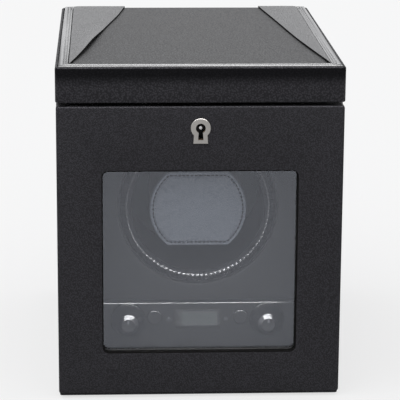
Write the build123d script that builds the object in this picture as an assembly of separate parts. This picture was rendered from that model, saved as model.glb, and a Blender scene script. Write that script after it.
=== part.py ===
from build123d import *
import os
from math import acos, cos, pi, radians, sin, sqrt, tan

# A leather-covered watch winder box: a lid hinged at the back, a drop-front door with a
# window and a lock, and a winding drum with its cuff, controls and drive inside.
# Millimetres, +Z up, +Y to the back. The origin is the centre of the overall footprint,
# on the surface that the feet stand on.

# Case, lid and door
case_width = 155.0  # over the leather
case_depth = 209.0  # door face to back face, over the leather
lid_height = 20.5
lid_gap = 1.8  # between the case's top edge and the lid
lid_overhang = 0.3  # lid beyond the case, at the front and sides
board = 8.0  # fibreboard walls
leather = 0.8
lining = 0.8
case_corner = 2.5  # rounding of the upright corners
tray_depth = 9.5  # from the deck's upper face to the case's top edge
foot_height = 1.5
foot_radius = 7.0
foot_inset = 18.0
move_gap = 0.4  # between pieces that move past each other
slip_gap = 0.2  # between pieces that are assembled with room to spare
turn_gap = 0.05  # radial, between a shaft and its bore

# Lid top: a raised border round a padded field, with a folded flap at each side
border_inset = 1.4
border_width = 5.9
border_height = 2.5
border_round = 1.2
field_thickness = 1.3
field_round = 0.4
flap_thickness = 0.9
flap_front_margin = 1.4  # flap's tip, in from the border at the front corner
left_flap_width = 31.2  # at the back edge, from the border
right_flap_width = 24.2
lid_edge_round = 1.2
lid_pad = 2.0

# Lid hinges
knuckle_radius = 2.6
hinge_pin_radius = 1.2
hinge_length = 28.0
hinge_spacing = 86.0
leaf_width = 7.6
leaf_thickness = 0.8
knuckle_side_gap = 0.2
pocket_room = 0.4

# Door, window and lock
door_corner = 1.5
door_edge_round = 1.0
window_width = 105.4
window_bottom = 24.9  # above the bottom cover
window_top_margin = 36.0  # leather above the window
window_corner = 2.2
reveal_depth = 4.0  # from the door's face to the glass
glass_thickness = 2.0
glass_cover = 3.2  # from the glass to the door's lining
glass_lap = 4.0  # glass beyond the opening on each side
gasket_wall = 1.0
keyhole_drop = 12.0  # from the door's top edge to the keyhole's centre
escutcheon_proud = 0.9
escutcheon_radius = 5.4
escutcheon_foot = 8.5  # from the keyhole's centre to the plate's lower edge
escutcheon_neck_half = 3.5
escutcheon_foot_half = 4.0
key_radius = 2.65
key_slot_drop = 6.4
key_neck_half = 1.0
key_foot_half = 1.45
key_post_radius = 1.0
key_post_setback = 3.4
lock_half_width = 14.5
lock_depth_front = 3.2
lock_cover = 0.4  # from the lock to the door's lining
lock_wall = 0.8
lock_below_key = 8.7
selvedge_half_width = 21.0
selvedge_thickness = 1.0
bolt_thickness = 1.8
bolt_half_width = 9.0
bolt_tongue_half = 5.0
bolt_travel = 5.0
bolt_flush = 0.3  # tongue's top below the door's top edge when drawn
strike_half_width = 20.0
strike_thickness = 1.0
strike_margin = 0.4  # rail left in front of and behind the plate

# Winding drum and cuff
fascia_setback = 30.0  # from the door's face to the fascia
fascia_thickness = 3.0
drum_opening = 44.5  # radius of the fascia's opening
drum_opening_margin = 9.2  # fascia between the console and the opening
fascia_top_margin = 6.1
bezel_gap = 1.0  # between the bezel's rim and the fascia
bezel_tooth = 1.8
bezel_bevel = 3.5
bezel_face = 6.5  # from the rim to the mouth
bezel_proud = 1.5
bezel_depth = 4.5
bezel_teeth = 96
drum_inset = 2.0  # drum's wall, in from the bezel's rim
drum_wall = 2.0
drum_length = 61.0
drum_floor = 3.0
socket_half_width = 15.0
socket_half_height = 10.0
socket_wall = 2.7
socket_length = 14.0
shroud_wall = 2.0
shroud_room = 2.5
cuff_setback = 24.3  # from the door's face to the cuff's face
cuff_radius = 27.2
cuff_half_height = 21.3
cuff_pad_thickness = 3.7
cuff_pad_round = 1.4
cuff_corner = 2.4  # rounding where the cuff's flats meet its sides
cuff_plate = 2.0
cuff_length = 42.0
cuff_rim = 1.0  # pad beyond the core
cuff_core_floor = 5.0  # core's underside, below the axis
slider_top = 12.0  # slider's upper face, below the axis
slider_post_radius = 2.0
slider_post_length = 18.0
slider_post_spacing = 18.0
slider_travel = 4.0
spring_wire = 0.35
spring_radius = 3.1
spring_turns = 3.5
cuff_travel = 12.0

# Drive
shaft_radius = 4.0
shaft_flange_radius = 12.0
shaft_flange = 2.0
plate_thickness = 3.0
front_plate_setback = 99.0
plate_spacing = 20.0
plate_flange = 8.0
plate_side_channel = 7.7  # room for the wires beside each plate
bush_radius = 7.0
bush_flange_radius = 9.0
bush_flange = 1.2
gear_module = 1.25
gear_teeth = 48
pinion_teeth = 12
gear_width = 6.0
gear_hub_radius = 9.0
tooth_backlash = 0.16
tooth_addendum = 0.75  # times the module
tooth_dedendum = 1.0
pressure_angle = radians(20)
pinion_shaft_radius = 2.5
gearbox_half_width = 14.0
gearbox_half_height = 16.0
gearbox_length = 22.0
motor_radius = 11.0
motor_length = 30.0
tray_thickness = 3.0
tray_length = 146.0

# Controls
console_height = 37.4
console_proud = 6.0  # in front of the fascia
console_wall = 2.0
console_edge_round = 1.0
control_drop = 9.7  # from the console's top to the row of controls
knob_spacing = 78.0
knob_skirt_radius = 9.4
knob_skirt = 1.4
knob_radius = 5.8
knob_length = 12.2
knob_bevel = 1.7
knob_shaft_radius = 3.0
knob_pointer_width = 0.9
knob_pointer_depth = 0.4
button_spacing = 48.0
button_rise = 1.2  # above the middle of the row
button_radius = 4.2
button_proud = 1.6
button_flange_radius = 5.0
button_flange = 0.8
button_travel = 0.8
light_spacing = 32.0
light_radius = 1.3
screen_width = 25.5
screen_height = 11.6
screen_lens = 1.2
screen_rim = 1.6
screen_cell_depth = 4.6
control_board_thickness = 1.6
control_board_margin = 6.0
selector_half = 6.5
switch_half = 3.0
switch_height = 2.4

# Deck, socket and wiring
deck_thickness = 3.0
jack_x = -45.0
jack_height = 33.5  # above the bottom cover
jack_radius = 5.5
jack_flange_radius = 8.0
jack_flange = 1.5
jack_length = 22.0
jack_bore = 2.9
jack_bore_depth = 10.0
jack_pin = 1.0
wire_radius = 1.2
screw_radius = 1.2
screw_head_radius = 2.2
wood_screw_length = 9.0
overshoot = 1.0  # how far a cutting tool passes a face

# Places that follow from the sizes
door_thickness = reveal_depth + glass_thickness + glass_cover + lining
lock_depth_back = door_thickness - lining - lock_cover
bezel_radius = drum_opening - bezel_gap
bezel_groove_radius = bezel_radius - bezel_tooth
bezel_crest_radius = bezel_radius - bezel_bevel
bezel_mouth_radius = bezel_radius - bezel_face
drum_radius = bezel_radius - drum_inset
module_height = console_height + drum_opening_margin + 2 * drum_opening + fascia_top_margin
case_height = leather + board + module_height + deck_thickness + tray_depth
window_height = case_height - window_bottom - window_top_margin
overall_depth = escutcheon_proud + case_depth + knuckle_radius
front_y = escutcheon_proud - overall_depth / 2
back_y = front_y + case_depth
half_width = case_width / 2
core_half = half_width - leather
cavity_half = core_half - board
cover_z = foot_height
floor_z = cover_z + leather
cavity_z = floor_z + board
top_z = cover_z + case_height
lid_z = top_z + lid_gap
lid_top_z = lid_z + lid_height
axis_z = top_z + lid_gap / 2
inside_half = cavity_half - lining


def behind(distance):
    """The y of a plane that far behind the door's face."""
    return front_y + distance


case_front_y = behind(door_thickness + move_gap)
cavity_back_y = back_y - leather - board
key_z = top_z - keyhole_drop
window_z = cover_z + window_bottom + window_height / 2
console_z = cavity_z + lining
console_top_z = cavity_z + console_height
control_z = console_top_z - control_drop
button_z = control_z + button_rise
drum_z = console_top_z + drum_opening_margin + drum_opening
deck_z = drum_z + drum_opening + fascia_top_margin
fascia_y = behind(fascia_setback)
console_y = fascia_y - console_proud
glass_y = behind(reveal_depth)


def block(x0, x1, y0, y1, z0, z1):
    """A box between two opposite corners."""
    centre = Pos((x0 + x1) / 2, (y0 + y1) / 2, (z0 + z1) / 2)
    return centre * Box(x1 - x0, y1 - y0, z1 - z0)


def rod_x(radius, x0, x1, y, z):
    return Pos((x0 + x1) / 2, y, z) * Rot(0, 90, 0) * Cylinder(radius, x1 - x0)


def rod_y(radius, y0, y1, x, z):
    return Pos(x, (y0 + y1) / 2, z) * Rot(90, 0, 0) * Cylinder(radius, y1 - y0)


def rod_z(radius, z0, z1, x, y):
    return Pos(x, y, (z0 + z1) / 2) * Cylinder(radius, z1 - z0)


def plate_y(outline, y0, y1, x=0.0, z=0.0):
    """An outline drawn in the XZ plane, as a plate from y0 to y1."""
    return Pos(x, y1, z) * Rot(90, 0, 0) * extrude(outline, y1 - y0, dir=(0, 0, 1))


def turned_y(points, x, z):
    """A turned piece about a line along Y, from (radius, y) points."""
    profile = make_face(Polyline(*[(r, y) for r, y in points], close=True))
    return Pos(x, 0, z) * revolve(profile, Axis.Y)


def upright_block(x0, x1, y0, y1, z0, z1, corner, top_round=0.0):
    """A box with rounded upright corners and, if asked, a rounded top edge."""
    shape = block(x0, x1, y0, y1, z0, z1)
    shape = fillet(shape.edges().filter_by(Axis.Z), corner)
    if top_round:
        shape = fillet(shape.faces().sort_by(Axis.Z)[-1].edges(), top_round)
    return shape


def both_sides(shape):
    """A shape and its mirror image across the middle of the box."""
    return [shape, mirror(shape, Plane.YZ)]


def cut(shape, tools):
    """The shape with a seat cut for each tool."""
    for tool in tools:
        shape = shape - tool
    return shape


def screw_down(x, y, z, length=wood_screw_length):
    """A countersunk screw with its head's face at z, pointing down."""
    head = screw_head_radius - screw_radius
    cone = Pos(x, y, z - head / 2) * Cone(screw_radius, screw_head_radius, head)
    return cone + rod_z(screw_radius, z - length, z - head / 2, x, y)


def screw_up(x, y, z, length=wood_screw_length):
    """A countersunk screw with its head's face at z, pointing up."""
    return Pos(x, y, z) * Rot(180, 0, 0) * screw_down(0, 0, 0, length)


# Lid hinges: two butt hinges whose pins lie in the back face's plane


def hinge_middles():
    return [-hinge_spacing / 2, hinge_spacing / 2]


def hinge_pockets():
    """The room that the knuckles take out of the case and the lid."""
    radius = knuckle_radius + pocket_room
    half = hinge_length / 2 + pocket_room
    return [rod_x(radius, m - half, m + half, back_y, axis_z) for m in hinge_middles()]


def knuckle_spans(middle, of_lid):
    """The stretches of one hinge's barrel that belong to the lid or to the case."""
    third = hinge_length / 3
    gap = knuckle_side_gap / 2
    if of_lid:
        return [(middle - third / 2 + gap, middle + third / 2 - gap)]
    outer = hinge_length / 2
    inner = third / 2 + gap
    return [(middle - outer, middle - inner), (middle + inner, middle + outer)]


def hinge_leaves(of_lid):
    """Both hinges' leaves on one side, each with its knuckles."""
    bore = hinge_pin_radius + (turn_gap if of_lid else 0.0)
    low = axis_z + lid_gap / 2 - leaf_thickness if of_lid else top_z
    leaves = []
    for middle in hinge_middles():
        half = hinge_length / 2
        clear = back_y - knuckle_radius - pocket_room
        far = back_y - leaf_width - knuckle_radius
        leaf = block(middle - half, middle + half, far, clear, low, low + leaf_thickness)
        for start, end in knuckle_spans(middle, of_lid):
            leaf += block(start, end, clear - overshoot, back_y, low, low + leaf_thickness)
            leaf += rod_x(knuckle_radius, start, end, back_y, axis_z)
        leaf -= rod_x(bore, middle - half - overshoot, middle + half + overshoot, back_y, axis_z)
        leaves.append(cut(leaf, hinge_screws(of_lid)))
    return leaves


def hinge_screws(of_lid):
    y = back_y - knuckle_radius - pocket_room - leaf_width / 2
    spots = [m + side * hinge_length / 3.2 for m in hinge_middles() for side in (-1, 1)]
    if of_lid:
        return [screw_up(x, y, lid_z - leaf_thickness) for x in spots]
    return [screw_down(x, y, top_z + leaf_thickness) for x in spots]


def hinge_pins():
    half = hinge_length / 2
    return [rod_x(hinge_pin_radius, m - half, m + half, back_y, axis_z) for m in hinge_middles()]


# Power socket, in the back board


def jack_parts():
    z = cover_z + jack_height
    flange = rod_y(jack_flange_radius, back_y - jack_flange, back_y, jack_x, z)
    barrel = rod_y(jack_radius, back_y - jack_length, back_y - jack_flange, jack_x, z)
    bore = rod_y(jack_bore, back_y - jack_bore_depth, back_y + overshoot, jack_x, z)
    pin = rod_y(jack_pin, back_y - jack_bore_depth, back_y - jack_flange, jack_x, z)
    return flange + barrel, bore, pin


def power_jack():
    body, bore, pin = jack_parts()
    return body - bore + pin


# Case


def case_outer():
    corner = case_corner
    shell = block(-half_width, half_width, case_front_y, back_y, floor_z, top_z)
    shell = fillet(shell.edges().filter_by(Axis.Z).sort_by(Axis.Y)[-2:], corner)
    return fillet(shell.faces().sort_by(Axis.Z)[-1].edges().sort_by(Axis.Y)[1:], leather)


def case_core():
    core = block(
        -core_half, core_half, case_front_y + leather, back_y - leather, floor_z, top_z - leather
    )
    rear_edges = core.edges().filter_by(Axis.Z).sort_by(Axis.Y)[-2:]
    return fillet(rear_edges, case_corner - leather)


def case_cavity():
    return block(
        -cavity_half,
        cavity_half,
        case_front_y - overshoot,
        cavity_back_y,
        cavity_z,
        top_z + overshoot,
    )


def build_case():
    core = case_core()
    pockets = hinge_pockets()
    jack_body = jack_parts()[0]
    screws = hinge_screws(of_lid=False)
    wide = core_half + overshoot
    base = core & block(-wide, wide, front_y, back_y, floor_z, cavity_z)
    back = core & block(-wide, wide, cavity_back_y, back_y, cavity_z, top_z)
    side = core & block(cavity_half, wide, front_y, cavity_back_y, cavity_z, top_z)
    skin = case_outer() - core - case_cavity()
    return {
        "base_board": cut(base, module_screws()),
        "side_boards": both_sides(side),
        "back_board": cut(back, [*pockets, jack_body, *screws]),
        "case_leather": cut(skin, [*pockets, jack_body, *screws]),
        "base_cover": base_cover(),
        "rubber_feet": feet(),
        "case_lining": case_lining(),
        "power_jack": power_jack(),
        "case_hinge_leaves": hinge_leaves(of_lid=False),
        "hinge_pins": hinge_pins(),
    }


def base_cover():
    """The bottom sheet, which runs under the door and carries it as a soft hinge."""
    return upright_block(-half_width, half_width, front_y, back_y, cover_z, floor_z, door_corner)


def feet():
    x = half_width - foot_inset
    spots = [(sx * x, y) for sx in (-1, 1) for y in (front_y + foot_inset, back_y - foot_inset)]
    pads = []
    for px, py in spots:
        pad = rod_z(foot_radius, 0, foot_height, px, py)
        pads.append(fillet(pad.faces().sort_by(Axis.Z)[0].edges(), foot_height / 3))
    return pads


def case_lining():
    """Thin sheets on the side walls, on the back wall and on the floor before the console."""
    low = cavity_z
    high = top_z - leather
    front = case_front_y + leather
    jack_body = jack_parts()[0]
    side = block(inside_half, cavity_half, front, cavity_back_y, low, high)
    rear = block(-inside_half, inside_half, cavity_back_y - lining, cavity_back_y, low, high)
    strip = block(-inside_half, inside_half, front, console_y, low, low + lining)
    return [*both_sides(side), rear - jack_body, strip]


# Winder module: fascia, console, plates and drive


def plate_middle_ys():
    front = behind(front_plate_setback)
    return [front, front + plate_spacing]


def module_screws():
    """Screws through the plates' flanges into the tray and the base board."""
    x = inside_half - plate_side_channel - foot_inset / 2
    flange_y = plate_thickness + plate_flange / 2
    spots = [(side * x, y + flange_y) for y in plate_middle_ys() for side in (-1, 1)]
    head_z = cavity_z + 2 * tray_thickness
    return [screw_down(px, py, head_z, wood_screw_length + tray_thickness) for px, py in spots]


def fascia():
    plate = block(
        -inside_half, inside_half, fascia_y, fascia_y + fascia_thickness, console_top_z, deck_z
    )
    hole = rod_y(drum_opening, fascia_y - overshoot, fascia_y + 2 * fascia_thickness, 0, drum_z)
    plate -= hole
    rim = plate.edges().filter_by(GeomType.CIRCLE).sort_by(Axis.Y)[0]
    return fillet(rim, console_edge_round)


def control_xs(spacing):
    return [-spacing / 2, spacing / 2]


def console():
    back = fascia_y + fascia_thickness
    shell = block(-inside_half, inside_half, console_y, back, console_z, console_top_z)
    front_top = shell.faces().sort_by(Axis.Y)[0].edges().sort_by(Axis.Z)[-1]
    shell = fillet(front_top, console_edge_round)
    wall = console_wall
    hollow = block(
        wall - inside_half,
        inside_half - wall,
        console_y + wall,
        back + overshoot,
        console_z - overshoot,
        console_top_z - wall,
    )
    shell -= hollow
    start = console_y - overshoot
    end = console_y + wall + overshoot
    for x in control_xs(knob_spacing):
        shell -= rod_y(knob_shaft_radius + move_gap, start, end, x, control_z)
    for x in control_xs(button_spacing):
        shell -= rod_y(button_radius + slip_gap, start, end, x, button_z)
    for x in control_xs(light_spacing):
        shell -= rod_y(light_radius, start, end, x, control_z)
    shell -= screen_plate(screen_width, screen_height, start, console_y + screen_lens)
    inner_width = screen_width - 2 * screen_rim
    inner_height = screen_height - 2 * screen_rim
    return shell - screen_plate(inner_width, inner_height, start, end)


def screen_plate(width, height, y0, y1):
    return plate_y(RectangleRounded(width, height, screen_rim / 2), y0, y1, 0, control_z)


def control_board_y():
    return fascia_y + console_edge_round


def control_board():
    half = inside_half - control_board_margin
    y = control_board_y()
    low = console_z + control_board_margin / 2
    high = console_top_z - console_wall - slip_gap
    return block(-half, half, y, y + control_board_thickness, low, high)


def selector_bore_end():
    return control_board_y() - console_edge_round


def switch_bodies():
    """The two rotary selectors and the two push switches, soldered to the board."""
    y = control_board_y()
    front = console_y + console_wall + slip_gap
    bodies = []
    for x in control_xs(knob_spacing):
        body = block(
            x - selector_half,
            x + selector_half,
            front,
            y,
            control_z - selector_half,
            control_z + console_wall * 3,
        )
        bore = knob_shaft_radius + turn_gap
        bodies.append(body - rod_y(bore, front - overshoot, selector_bore_end(), x, control_z))
    for x in control_xs(button_spacing):
        bodies.append(
            block(
                x - switch_half,
                x + switch_half,
                y - switch_height,
                y,
                button_z - switch_half,
                button_z + switch_half,
            )
        )
    return bodies


def indicator_lights():
    lights = []
    for x in control_xs(light_spacing):
        light = rod_y(light_radius, console_y, control_board_y(), x, control_z)
        lights.append(fillet(light.faces().sort_by(Axis.Y)[0].edges(), light_radius / 3))
    return lights


def bearing_plates():
    """Two upright plates on flanged feet, bored for the drum's bushes."""
    half = inside_half - plate_side_channel
    low = cavity_z + tray_thickness
    plates = []
    for number, y in enumerate(plate_middle_ys()):
        plate = block(-half, half, y, y + plate_thickness, low, deck_z)
        flange_end = y + plate_thickness + plate_flange
        plate += block(-half, half, y, flange_end, low, low + tray_thickness)
        end = y + plate_thickness + overshoot
        plate -= rod_y(bush_radius, y - overshoot, end, 0, drum_z)
        if number == 1:
            hole = pinion_shaft_radius + 2 * overshoot
            plate -= rod_y(hole, y - overshoot, end, 0, pinion_z())
        plates.append(cut(plate, module_screws()))
    return plates


def drum_bushes():
    bushes = []
    for number, y in enumerate(plate_middle_ys()):
        bore = shaft_radius + turn_gap
        rear = y + plate_thickness
        bush = rod_y(bush_radius, y, rear, 0, drum_z)
        if number == 0:
            bush += rod_y(bush_flange_radius, rear, rear + bush_flange, 0, drum_z)
        else:
            bush += rod_y(bush_flange_radius, y - bush_flange, y, 0, drum_z)
        start = y - 2 * bush_flange
        bushes.append(bush - rod_y(bore, start, rear + 2 * bush_flange, 0, drum_z))
    return bushes


def chassis_tray():
    start = fascia_y + fascia_thickness + slip_gap
    tray = block(
        -inside_half, inside_half, start, start + tray_length, cavity_z, cavity_z + tray_thickness
    )
    return cut(tray, module_screws())


def drum_shroud():
    outer = drum_radius + shroud_room + shroud_wall
    start = fascia_y + fascia_thickness
    end = behind(front_plate_setback)
    tube = rod_y(outer, start, end, 0, drum_z)
    return tube - rod_y(outer - shroud_wall, start - overshoot, end + overshoot, 0, drum_z)


def gearbox_y():
    return plate_middle_ys()[1] + plate_thickness


def gearbox():
    y = gearbox_y()
    z = pinion_z()
    case = block(
        -gearbox_half_width,
        gearbox_half_width,
        y,
        y + gearbox_length,
        z - gearbox_half_height,
        z + gearbox_half_height,
    )
    case = fillet(case.edges().filter_by(Axis.Y), overshoot * 2)
    bore = pinion_shaft_radius + turn_gap
    return case - rod_y(bore, y - overshoot, y + gearbox_length / 2, 0, z)


def motor():
    start = gearbox_y() + gearbox_length
    can = rod_y(motor_radius, start, start + motor_length, 0, pinion_z())
    can = fillet(can.faces().sort_by(Axis.Y)[-1].edges(), 1.5)
    boss = rod_y(
        motor_radius / 3, start + motor_length, start + motor_length + 2.0, 0, pinion_z()
    )
    return can + boss


def deck():
    return block(
        -inside_half, inside_half, fascia_y, cavity_back_y - lining, deck_z, deck_z + deck_thickness
    )


def wire(points):
    """A round lead along straight runs joined by arcs."""
    line = FilletPolyline(*points, radius=5 * wire_radius)
    return sweep(Plane(line @ 0, z_dir=line % 0) * Circle(wire_radius), path=line)


def wiring():
    """The lead from the socket to the board, and the one from the board to the motor."""
    channel = inside_half - plate_side_channel / 2
    board_y = control_board_y() + control_board_thickness
    low_z = cavity_z + tray_thickness + 4 * wire_radius
    turn_y = board_y + 16
    jack_z = cover_z + jack_height
    jack_end = back_y - jack_length
    end_x = channel - 14
    power = [
        (jack_x, jack_end, jack_z),
        (jack_x, jack_end - 14, jack_z),
        (-channel, jack_end - 30, low_z + 8),
        (-channel, turn_y + 14, low_z),
        (-end_x, turn_y, low_z + 6),
        (-end_x, board_y, low_z + 6),
    ]
    motor_end = gearbox_y() + gearbox_length + motor_length + 2.0
    supply = [
        (0, motor_end, pinion_z()),
        (0, motor_end + 10, pinion_z()),
        (channel / 2, motor_end + 12, pinion_z() - 20),
        (channel, motor_end - 8, low_z + 8),
        (channel, turn_y + 14, low_z),
        (end_x, turn_y, low_z + 6),
        (end_x, board_y, low_z + 6),
    ]
    return [wire(power), wire(supply)]


def build_module():
    lens = screen_plate(screen_width, screen_height, console_y, console_y + screen_lens)
    inner_width = screen_width - 2 * screen_rim
    inner_height = screen_height - 2 * screen_rim
    wall_end = console_y + console_wall
    cell = screen_plate(inner_width, inner_height, console_y + screen_lens, wall_end)
    cell += screen_plate(screen_width, screen_height, wall_end, wall_end + screen_cell_depth)
    return {
        "fascia": fascia(),
        "control_console": console(),
        "screen_lens": lens,
        "screen_cell": cell,
        "control_board": control_board(),
        "switch_bodies": switch_bodies(),
        "indicator_lights": indicator_lights(),
        "bearing_plates": bearing_plates(),
        "drum_bushes": drum_bushes(),
        "chassis_tray": chassis_tray(),
        "drum_shroud": drum_shroud(),
        "gearbox_case": gearbox(),
        "motor_can": motor(),
        "deck_panel": deck(),
        "wiring": wiring(),
        "case_screws": [*hinge_screws(of_lid=False), *module_screws()],
    }


# Drum, gear and pinion


def involute_half_angle(radius, teeth, thinning):
    """Half the angle of a tooth at a radius."""
    pitch_radius = gear_module * teeth / 2
    base_radius = pitch_radius * cos(pressure_angle)

    def spread(r):
        if r <= base_radius:
            return 0.0
        angle = acos(base_radius / r)
        return tan(angle) - angle

    at_pitch = pi / (2 * teeth) - thinning / (2 * pitch_radius)
    return at_pitch + spread(pitch_radius) - spread(radius)


def gear_outline(teeth, first_angle):
    """A spur gear's outline with straight facets along each flank."""
    pitch_radius = gear_module * teeth / 2
    root = pitch_radius - tooth_dedendum * gear_module
    tip = pitch_radius + tooth_addendum * gear_module
    steps = [root, (root + pitch_radius) / 2, pitch_radius, (pitch_radius + tip) / 2, tip]
    points = []
    for tooth in range(teeth):
        middle = first_angle + 2 * pi * tooth / teeth
        rising = [(r, -involute_half_angle(r, teeth, tooth_backlash)) for r in steps]
        falling = [(r, -angle) for r, angle in reversed(rising)]
        for r, angle in rising + falling:
            points.append((r * cos(middle + angle), r * sin(middle + angle)))
    return make_face(Polyline(*points, close=True))


def pinion_z():
    """The pinion sits straight below the drum's gear."""
    return drum_z - gear_module * (gear_teeth + pinion_teeth) / 2


def gear_y():
    plates = plate_middle_ys()
    return (plates[0] + plates[1] + plate_thickness) / 2 - gear_width / 2


def drum_gear():
    y = gear_y()
    wheel = plate_y(gear_outline(gear_teeth, -pi / 2), y, y + gear_width, 0, drum_z)
    wheel += rod_y(gear_hub_radius, y - overshoot, y + gear_width + overshoot, 0, drum_z)
    return wheel - rod_y(shaft_radius, y - 5, y + gear_width + 5, 0, drum_z)


def motor_pinion():
    """The pinion and its shaft; a gap between two teeth faces the drum's gear."""
    y = gear_y() - overshoot / 2
    outline = gear_outline(pinion_teeth, pi / 2 + pi / pinion_teeth)
    pinion = plate_y(outline, y, y + gear_width + overshoot, 0, pinion_z())
    shaft_end = gearbox_y() + gearbox_length / 2 - overshoot
    return pinion + rod_y(pinion_shaft_radius, y, shaft_end, 0, pinion_z())


def drum_cup():
    start = fascia_y + overshoot
    floor_y = start + drum_length
    end = floor_y + drum_floor
    cup = rod_y(drum_radius, start, end, 0, drum_z)
    cup -= rod_y(drum_radius - drum_wall, start - overshoot, floor_y, 0, drum_z)
    wide = socket_half_width + slip_gap
    tall = socket_half_height + slip_gap
    wall = socket_wall
    socket_y = floor_y - socket_length
    socket = block(
        -wide - wall,
        wide + wall,
        socket_y,
        floor_y,
        drum_z - tall - wall,
        drum_z + tall + wall,
    )
    socket -= block(-wide, wide, socket_y - overshoot, floor_y, drum_z - tall, drum_z + tall)
    return cup + socket


def drum_bezel():
    """A ring with a rounded crest and a toothed outer rim, bevelled at the front."""
    front = fascia_y - bezel_proud
    back = front + bezel_depth
    bevel = bezel_radius - bezel_crest_radius
    points = [
        (bezel_mouth_radius, back),
        (bezel_mouth_radius, front + bevel),
        (bezel_crest_radius - overshoot, front + overshoot / 3),
        (bezel_crest_radius - overshoot / 2, front),
        (bezel_crest_radius, front),
        (bezel_radius, front + bevel),
        (bezel_radius, back),
    ]
    ring = turned_y(points, 0, drum_z)
    corners = []
    for step in range(2 * bezel_teeth):
        radius = bezel_radius + overshoot / 4 if step % 2 else bezel_groove_radius
        angle = pi * step / bezel_teeth
        corners.append((radius * cos(angle), radius * sin(angle)))
    star = make_face(Polyline(*corners, close=True))
    ring &= plate_y(star, front - overshoot, back + overshoot, 0, drum_z)
    start = fascia_y + overshoot
    cup_seat = rod_y(drum_radius, start, back + overshoot, 0, drum_z)
    return ring - cup_seat + bezel_liner(start, back)


def bezel_liner(start, back):
    """The bezel's inner lip, which plugs into the mouth of the drum."""
    lip = rod_y(drum_radius - drum_wall, start, back, 0, drum_z)
    return lip - rod_y(bezel_mouth_radius, start - overshoot, back + overshoot, 0, drum_z)


def drum_shaft():
    start = fascia_y + overshoot + drum_length + drum_floor
    end = plate_middle_ys()[1] + plate_thickness + 4 * overshoot
    flange = rod_y(shaft_flange_radius, start, start + shaft_flange, 0, drum_z)
    return flange + rod_y(shaft_radius, start, end, 0, drum_z)


# Cuff: a padded face on a core, with a sprung slider below that grips the watch strap


def cuff_outline(radius, half_height):
    """A circle cut flat above and below, with its four corners rounded."""
    half = sqrt(radius**2 - half_height**2)
    right = ThreePointArc((half, -half_height), (radius, 0), (half, half_height))
    top = Line((half, half_height), (-half, half_height))
    left = ThreePointArc((-half, half_height), (-radius, 0), (-half, -half_height))
    bottom = Line((-half, -half_height), (half, -half_height))
    outline = make_face([right, top, left, bottom])
    return fillet(outline.vertices(), cuff_corner)


def cuff_y():
    return behind(cuff_setback)


def cuff_body(y0, y1):
    radius = cuff_radius - cuff_rim
    return plate_y(cuff_outline(radius, cuff_half_height - cuff_rim), y0, y1, 0, drum_z)


def slider_post_ys():
    middle = cuff_y() + cuff_pad_thickness + cuff_plate + cuff_length / 2
    return [middle - slider_post_spacing / 2, middle + slider_post_spacing / 2]


def cuff_pad():
    y = cuff_y()
    outline = cuff_outline(cuff_radius, cuff_half_height)
    pad = plate_y(outline, y, y + cuff_pad_thickness, 0, drum_z)
    return fillet(pad.faces().sort_by(Axis.Y)[0].edges(), cuff_pad_round)


def cuff_core():
    front = cuff_y() + cuff_pad_thickness
    inner = front + cuff_plate
    outer = inner + cuff_length
    rear = outer + 2 * cuff_plate
    core = cuff_body(front, rear)
    low = drum_z - cuff_half_height - overshoot
    core -= block(-cuff_radius, cuff_radius, inner, outer, low, drum_z - cuff_core_floor)
    stem_end = fascia_y + overshoot + drum_length - overshoot
    core += block(
        -socket_half_width,
        socket_half_width,
        rear,
        stem_end,
        drum_z - socket_half_height,
        drum_z + socket_half_height,
    )
    top = drum_z - slider_top + slider_post_length + slider_travel + overshoot
    for y in slider_post_ys():
        core -= rod_z(slider_post_radius + 2 * turn_gap, low, top, 0, y)
    return core


def cuff_slider():
    front = cuff_y() + cuff_pad_thickness + cuff_plate
    body = cuff_body(front + move_gap, front + cuff_length - move_gap)
    low = drum_z - cuff_half_height - overshoot
    body &= block(-cuff_radius, cuff_radius, front, front + cuff_length, low, drum_z - slider_top)
    post_low = drum_z - slider_top - overshoot
    for y in slider_post_ys():
        body += rod_z(slider_post_radius, post_low, post_low + slider_post_length, 0, y)
    return body


def cuff_springs():
    """Two coil springs round the slider's posts, between the slider and the core."""
    low = drum_z - slider_top + spring_wire + turn_gap
    high = drum_z - cuff_core_floor - spring_wire - turn_gap
    coils = []
    for y in slider_post_ys():
        path = Helix((high - low) / spring_turns, high - low, spring_radius)
        section = Plane(path @ 0, z_dir=path % 0) * Circle(spring_wire)
        coils.append(Pos(0, y, low) * sweep(section, path=path, is_frenet=True))
    return coils


def build_drum():
    return {
        "drum_cup": drum_cup(),
        "drum_bezel": drum_bezel(),
        "drum_shaft": drum_shaft(),
        "drum_gear": drum_gear(),
        "motor_pinion": motor_pinion(),
        "cuff_pad": cuff_pad(),
        "cuff_core": cuff_core(),
        "cuff_slider": cuff_slider(),
        "cuff_springs": cuff_springs(),
    }


# Knobs and buttons


def knob(x):
    """A tapered knob with a bevelled face and a pointer groove, on the selector's shaft."""
    back = console_y - move_gap
    front = back - knob_length
    points = [
        (0, back),
        (knob_skirt_radius, back),
        (knob_skirt_radius, back - knob_skirt),
        (knob_radius, front + knob_bevel),
        (knob_radius - knob_bevel, front),
        (0, front),
    ]
    body = turned_y(points, x, control_z)
    groove = block(
        x - knob_pointer_width / 2,
        x + knob_pointer_width / 2,
        front - overshoot,
        front + knob_pointer_depth,
        control_z + knob_radius / 3,
        control_z + 2 * knob_radius,
    )
    shaft_end = selector_bore_end() - move_gap
    shaft = rod_y(knob_shaft_radius, back, shaft_end, x, control_z)
    return body - groove + shaft


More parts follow.
